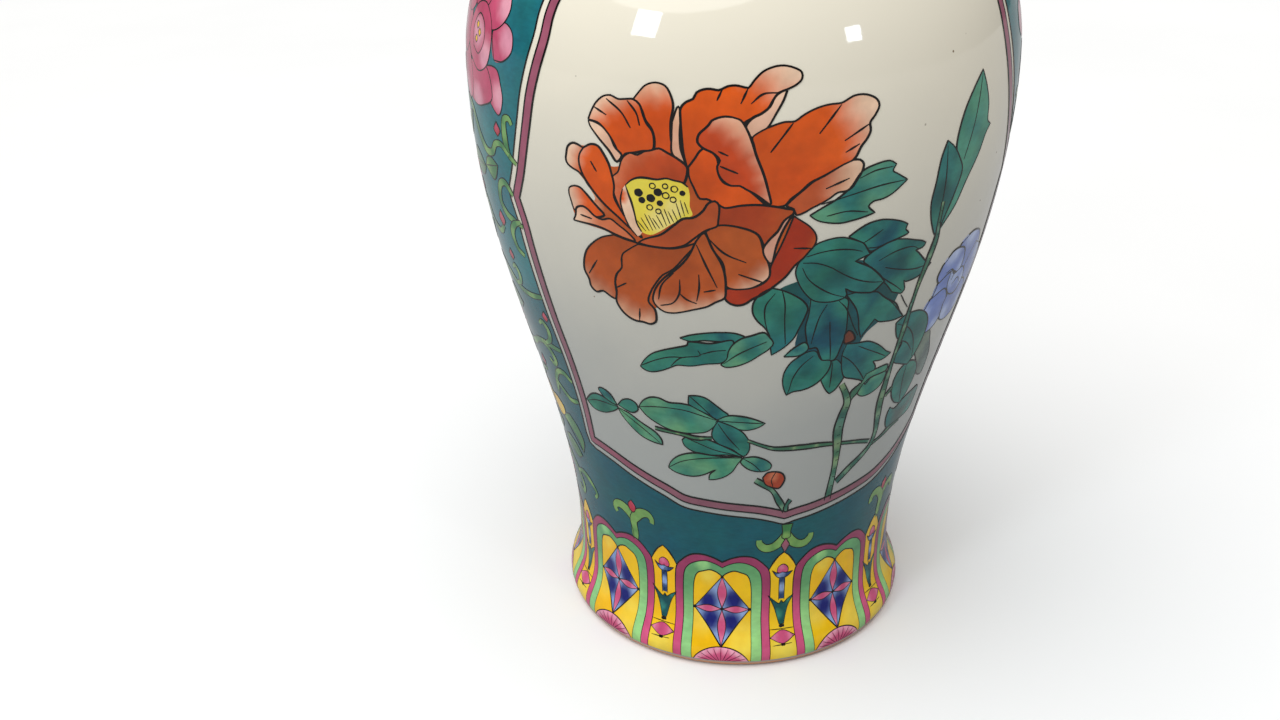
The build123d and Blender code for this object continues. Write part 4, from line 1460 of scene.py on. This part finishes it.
leaf("""3.3 160, 0 157.2, -2.1 153, -2.5 149, -1.7 145, -0.3 141.8 c, 2 143.1, 6.2 143.6, 10.2 145,
    13.5 147.7, 16 152, 16 156, 12 157, 9 161.5, 6 161.5""",
     ("8.5 159.4, 4.3 155.3, 1.5 149.8, 0.5 144, 0 142.5",), colour=tint(28, 112, 100))
leaf("31.5 139, 33 136, 36 134.4, 41 135, 45 138, 45.5 144, 38 143", colour=jade, pale=moss)
leaf("""21.5 162.6, 27 162, 31 161.7, 35.4 159.6, 39 157, 42 154.4, 45 152.8 c, 41 150.8, 36.2 151.2 c,
    38.4 148, 38.3 145.4, 37 142.4, 35.6 140.3 c, 32.5 143, 28 145, 23.5 147, 20.5 157.5""",
     ("20.5 157.5, 25 154, 29 149.6, 32.6 145, 35 141", "27 160.5, 32 157.7, 37 155, 42 152.2"),
     colour=tint(30, 104, 98))
leaf("34.5 145.5, 39 146.7, 45.5 147, 45.5 144.5, 42 143.7, 37 143, 33 140", colour=jade, pale=moss)
leaf("""54 140.3, 53.2 136, 55 129.3, 59.3 124, 64.8 121.6 c, 68.2 126, 70 132.5, 69 138, 65.5 142,
    60 143.8, 56 142.5""", ("59 142, 60 135, 64 122.5",), colour=tint(30, 106, 98))
outlined("red", path("19.7 167, 21 168.7, 23 167.5, 24.5 164, 20.5 163"), tint(120, 66, 48), rust, [], 0.8)
print(len(painting), "shapes in the foliage so far")

# %% Blue flower at the panel's right edge
flower_blue = tint(120, 140, 204)
flower_pale = tint(186, 200, 236)
for petal_points in ("72 192, 80 194.6, 89 192, 92 184, 86 178, 76 180, 70 186",
                     "88 188, 95.6 184, 97 174, 92 167, 84 170, 82 180",
                     "62 186, 68 190.6, 76 189, 78 181, 72 175, 64 177, 60.6 181",
                     "62 178, 61 170, 65 163, 73 162, 78 169, 76 178, 69 181",
                     "60 172, 57 164, 62 156, 70 157, 74 165, 69 174",
                     "72 166, 74 158.6, 84 157, 91 162, 90 170, 82 174, 75 172",
                     "70 182, 73 179, 80 180, 84 175, 81 169, 74 170, 70 175"):
    shape = path(petal_points)
    outlined("blue", shape, flower_blue, flower_pale, [(*shape[1], 7), (*shape[3], 5)], 0.7)
for stroke in ("66 181.5, 70 182, 73 179, 72 176.5", "74 174, 78 176, 81 173"):
    line(path(stroke), 0.6)
leaf("""43 166.7 c, 46.5 169, 52 169.5, 57 168.2, 61.5 164.8, 64.2 159.5, 64 152.2, 62 146.4,
    59 142.7 c, 54 144.6, 48 148, 50 156, 46 159.2, 44 163.2""",
     ("44 166, 50.3 163, 55.3 158, 59.2 150.5, 60.5 146", "47 158, 53 155, 58 150"),
     colour=tint(28, 98, 94))
print(len(painting), "shapes with the blue flower")

# %% Stems
bark = tint(62, 116, 90)
bark_pale = tint(126, 160, 122)


def stem(points, width, rings):
    """A jointed stem: black edges, green inside, and short ring marks."""
    curve = brush_curve(path(points), 1.2)
    add_shape("black", ribbon(curve, width + 1.3, 0.75, 0.22), ink)
    pale_spots = [(x, z, width * 1.2) for x, z in curve[::9]]
    add_shape("leaf", ribbon(curve, width, 0.75, 0.22), bark, bark_pale, pale_spots)
    if rings:
        ahead = np.gradient(curve, axis=0)
        for k in range(3, len(curve) - 2, 4):
            side = np.array([-ahead[k, 1], ahead[k, 0]]) / np.linalg.norm(ahead[k]) * width * 0.3
            line([curve[k] + side * 1.3, curve[k] - side * 0.2], 0.5)


for points, width, rings in (
        ("-15 119.5, -8 116.5, -3 114.8, 10 114, 20 113.5, 28 112.3, 35 111, 42 109.5, 49 107.5", 1.3, False),
        ("-57 122, -50 121.3, -44 120.8, -38 119.8, -31 120.5", 1.0, False),
        ("52 105, 58 107, 63 109.5, 71 111", 1.2, False),
        ("50.5 130, 54 133.5", 1.0, False),
        ("28.5 133, 31 138, 33.5 141", 2.4, False),
        ("52.6 214, 52.6 206, 53 200, 51.5 192, 49.5 182, 48.5 170", 1.5, True),
        ("48.5 174, 48.3 160, 47.8 150, 47.8 138", 1.5, True),
        ("47.8 142, 48 134, 48.5 127, 50.5 118, 52 111, 51 105, 46.5 100.5, 40 96, 33.5 90.5", 2.5, True),
        ("23.5 143, 26.5 138, 28.5 133, 27.8 128, 27.3 120, 28.7 112, 30 104, 30.5 95, 30.2 81.5", 3.2, True),
        ("-10.4 98.3, -6 95.5, -2 92.5, 0 90, 2 86.5, 4 83.5, 6 79.6", 2.0, False),
        ("6.5 79.5, 6.6 83, 8.4 86", 1.5, False)):
    stem(points, width, rings)


# %% Bud on its twig
outlined("red", path("-7 99.5, -5 102, -1 102.3, 2.5 101, 4 98, 2.8 94.5, 1.5 93.2, -2 94, -5.5 96"),
         tint(186, 78, 46), tint(226, 140, 104), [(-2, 100, 3)], 0.8)
line(path("-1 102, -2.6 98, -1.6 94.4"), 0.5)

lay_painting("foliage", jar_paper, "jar", copies=2, cell=2.6)

# %% [markdown]
# ## Collar, brim and cover
# Above the belly the wall turns almost flat, so height is a poor ruler there. These
# papers are measured in millimetres along the wall instead. The jar's collar and the cover
# repeat the foot's language: a ring of lappets, a turquoise ground with flowers, plain lines.

# %% Papers for the collar, the brim and the dome
collar_start = 311.0
first_collar = np.interp(-collar_start, -jar_side[::-1, 1], jar_side[::-1, 0])
collar_side = np.concatenate([
    [(first_collar, collar_start)], jar_side[jar_side[:, 1] > collar_start + 0.3], neck_side])
brim_side = np.concatenate([
    arc((brim_edge, jar_height + brim_round), brim_round, -80, 90, 10),
    spread((63.5, brim_top), (61, brim_top), 1)])
collar_paper = paintable("collar_paper", collar_side, along=True)
brim_paper = paintable("brim_paper", brim_side, along=True)
dome_paper = paintable("dome_paper", dome_side, along=True)
collar_length, brim_length, dome_length = (p["heights"][-1] for p in (collar_paper, brim_paper, dome_paper))


def field(paint, low, high, half, colour, pale=None, spots=()):
    """A plain ground between two heights."""
    wash(paint, rectangle(half, low, high), colour, pale, spots, smooth=False)


def ring(paint, centre, width, half, colour, pale=None, edge=0.7):
    """A band right round the tile with a black line on each side."""
    field("black", centre - width / 2 - edge, centre + width / 2 + edge, half, ink)
    field(paint, centre - width / 2, centre + width / 2, half, colour, pale,
          [(-half, centre, half), (half, centre, half)])


def hanging_lappet(base, tip, half, middle=0.0):
    """A cloud-headed lappet from its straight base to its pointed tip, in three nested coats."""
    reach = tip - base
    for paint, colour, pale, size in (("pink", crimson, rose, 1.0), ("green", apple, pale_apple, 0.80),
                                      ("yellow", sun_yellow, straw, 0.60)):
        h = half * size
        left = [(-h, base)] * 2 + [(-h, base + reach * 0.42 * size), (-h * 0.82, base + reach * 0.66 * size),
                                   (-h * 0.42, base + reach * 0.78 * size), (0, base + reach * size)]
        pale_spot = (middle - h * 0.7, base + reach * 0.3, h * 0.6)
        outlined(paint, shifted(both_halves(left), middle), colour, pale, [pale_spot], 0.6)


# %% Collar
collar_copies = 12
half = math.pi * 100 / collar_copies
root = np.interp(-57.6, -collar_side[:, 0], collar_paper["heights"])      # where the neck springs up
diamond_middle = root - 8.0
field("turquoise", 0, collar_length - 2.2, half, ground_blue, ground_pale, [(0, 40, 9)])
field("yellow", 3.2, root - 1.0, half, sun_yellow, straw, [(-half, 12, 10), (half, 12, 10)])
hanging_lappet(root - 1.0, 5.0, half * 0.62)
outlined("blue", [(0, root - 3.2)] * 2 + [(6.6, diamond_middle)] * 2 + [(0, root - 13.4)] * 2
         + [(-6.6, diamond_middle)] * 2, sky, cobalt, [(-3, root - 7, 3), (3, root - 10, 3)], 0.5)
for side in (1, -1):
    bud = [(-4, root - 8), (0, root - 12), (4, root - 8), (0, root - 3.4)]
    outlined("red", shifted(bud, side * half), bud_red, peony_pink, [(side * half, root - 6, 3)], 0.5)
    scroll([(half - 0.5, root - 13), (half - 5, root - 17), (half - 7, root - 14)], 2.2, side)
ring("pink", 2.2, 1.8, half, border_pink, border_mauve)
ring("pink", root, 1.8, half, border_pink, border_mauve)
neck_middle = (root + collar_length) / 2 + 0.6
small_flower(0, neck_middle, 5.2, 100 / neck_radius)
for side in (1, -1):
    scroll([(10, neck_middle - 2), (16, neck_middle + 2.6), (22, neck_middle + 1),
            (half + 0.3, neck_middle - 3)], 1.9, side)
ring("yellow", collar_length - 2.6, 1.4, half, sun_yellow, straw, 0.5)
lay_painting("collar", collar_paper, "jar", copies=collar_copies, cell=2.6, limit=half)

# %% Brim of the cover
brim_copies = 24
half = math.pi * 100 / brim_copies
field("yellow", 1.2, brim_length - 0.6, half, sun_yellow, straw, [(0, 3, 6)])
outlined("pink", path("-6.4 5 c, 0 2.4 c, 6.4 5 c, 0 7.6 c"), crimson, rose, [(0, 5, 3)], 0.5)
for side in (1, -1):
    outlined("green", [(half + 3, 5), (half, 6.6), (half - 3, 5), (half, 3.4)],
             apple, pale_apple, [], 0.45, side)
ring("pink", 1.6, 0.9, half, border_pink, border_mauve, 0.4)
lay_painting("brim", brim_paper, "lid", copies=brim_copies, cell=2.6, limit=half)

# %% Dome of the cover
dome_copies = 8
dome_radius = 52.0       # of the dome at the height of its small flowers
half = math.pi * 100 / dome_copies
field("turquoise", 0.8, dome_length - 1.0, half, ground_blue, ground_pale,
      [(0, 36, 16), (half, 24, 10), (-half, 24, 10)])
field("yellow", 1.6, 9.0, half, sun_yellow, straw, [(half, 5, 9), (-half, 5, 9)])
for middle in (0, half, -half):
    hanging_lappet(1.6, 17.5, 14.0, middle)
    outlined("blue", shifted([(0, 3.4), (4.4, 6.6), (0, 10.4), (-4.4, 6.6)], middle), sky, cobalt,
             [(middle, 6, 3)], 0.5)
ring("pink", 1.6, 1.6, half, border_pink, border_mauve)
small_flower(0, 31, 9.5, 100 / dome_radius, petals=6)
for side in (1, -1):
    scroll([(17, 27), (24, 31), (31, 29.6), (half + 0.4, 24)], 2.4, side)
    scroll([(18, 36), (25, 33.4), (30, 37.6), (25, 40.4)], 2.2, side)
    outlined("red", shifted([(-4, 30), (0, 26.6), (4, 30), (0, 34.4)], side * half), bud_red, peony_pink,
             [(side * half, 32, 3)], 0.5)
    outlined("green", path("13 41 c, 18 46.4, 26 46, 31 43 c, 24 41.4"), scroll_green, scroll_pale,
             [(24, 44, 6)], 0.55, side)
ring("pink", dome_length - 9.5, 1.5, half, border_pink, border_mauve)
for middle in (0, half, -half):
    petal_tip = [(-30, dome_length - 1.4), (-22, dome_length - 7.4), (0, dome_length - 8.4),
                 (22, dome_length - 7.4), (30, dome_length - 1.4)]
    outlined("yellow", shifted(petal_tip, middle), sun_yellow, straw, [(middle, dome_length - 7, 6)], 0.5)
ring("black", dome_length - 1.4, 0.8, half, ink)
lay_painting("dome", dome_paper, "lid", copies=dome_copies, cell=3.0, limit=half)

# %% [markdown]
# The knob is a lotus bud dipped in iron red: it is turned like the rest, and its colour is
# stored on the clay, deep in the waist and paler where the red ran thin over the swelling.

# %% Knob
knob_waist = 8.0         # radius where the red is deepest
knob_swelling = 17.0     # and where it is palest
lid_knob = turn_pot("lid_knob_bud", knob_side, enamel_materials["red"], steps=64)
knob_paint = lid_knob.data.color_attributes.new("paint", "FLOAT_COLOR", "POINT")
for vertex, drop in zip(lid_knob.data.vertices, knob_paint.data):
    out = math.hypot(vertex.co.x, vertex.co.y) / MM
    share = min(max((out - knob_waist) / (knob_swelling - knob_waist), 0.0), 1.0)
    drop.color = (*[a * (1 - share) + b * share for a, b in zip(deep_orange, orange)], 1)
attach(lid_knob, "lid")
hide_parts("lid_knob")

# %% [markdown]
# ## Light and floor
# White glaze needs something to reflect: two small windows, one far to the left and one to the
# right, show as bright panes on the shoulder. A wide soft skylight from above does the lighting,
# and a dim even sky keeps the shadows open. The floor is plain and pale, but only half of its
# light goes back to the jar, because a bright floor would veil the enamels with its reflection.

# %% Floor
floor_reach = 30.0
floor_bounce = (0.5, 0.5, 0.5)       # how much of the light the floor sends back to the jar
floor_mesh = bpy.data.meshes.new("floor")
floor_corners = [(x, y, 0) for x, y in rectangle(floor_reach, -floor_reach, floor_reach)]
floor_mesh.from_pydata(floor_corners, [], [(0, 1, 2, 3)])
floor = bpy.data.objects.new("floor", floor_mesh)
bpy.context.scene.collection.objects.link(floor)
floor_material, floor_tree, floor_shader, floor_coords = start_material("pale_floor", 0.6, shine=0.0)
floor_cloud = noise(floor_tree, floor_coords, 3)
floor_tone = ramp(floor_tree, floor_cloud, [(0.3, (0.95, 0.95, 0.94)), (0.7, (0.97, 0.97, 0.96))])
seen = node(floor_tree, "ShaderNodeLightPath").outputs["Is Camera Ray"]
floor_tone = blend_colour(floor_tree, seen, floor_bounce, floor_tone)
floor_tree.links.new(floor_tone, floor_shader.inputs["Base Color"])
floor_mesh.materials.append(floor_material)
print("the floor is", 2 * floor_reach, "metres wide")

# %% Windows and skylight
daylight = (0.82, 0.91, 1.0)
jar_middle = (0, 0, 0.25)


def window(name, place, size, power):
    """A rectangular soft light at a place, turned towards the jar."""
    data = bpy.data.lights.new(name, "AREA")
    data.shape = "RECTANGLE"
    data.size, data.size_y = size
    data.energy = power
    data.color = daylight
    light = bpy.data.objects.new(name, data)
    light.location = place
    light.rotation_euler = (Vector(jar_middle) - Vector(place)).to_track_quat("-Z", "Y").to_euler()
    light.visible_camera = False
    bpy.context.scene.collection.objects.link(light)
    print(name, "gives", power, "watts")


sky_data = bpy.data.lights.new("skylight", "SUN")
sky_data.energy = 2.75
sky_data.angle = math.radians(80)        # as wide as a bright sky, so shadows are soft
skylight = bpy.data.objects.new("skylight", sky_data)
skylight.rotation_euler = (math.radians(10), math.radians(-15), 0)
bpy.context.scene.collection.objects.link(skylight)
window("window_left", (-0.75, -0.65, 0.72), (0.18, 0.22), 2.0)
window("window_right", (0.55, -0.89, 0.60), (0.11, 0.13), 0.7)

# %% Sky
sky_fill = 0.20          # what the sky gives the jar; the camera sees it white
world = bpy.data.worlds.new("studio")
bpy.context.scene.world = world
world.use_nodes = True
world_tree = world.node_tree
background = world_tree.nodes["Background"]
background.inputs["Color"].default_value = (1, 1, 1, 1)
seen = node(world_tree, "ShaderNodeLightPath").outputs["Is Camera Ray"]
glow = node(world_tree, "ShaderNodeMapRange", Value=seen, To_Min=sky_fill, To_Max=1.0).outputs[0]
world_tree.links.new(glow, background.inputs["Strength"])
bpy.context.scene.view_settings.view_transform = "Standard"
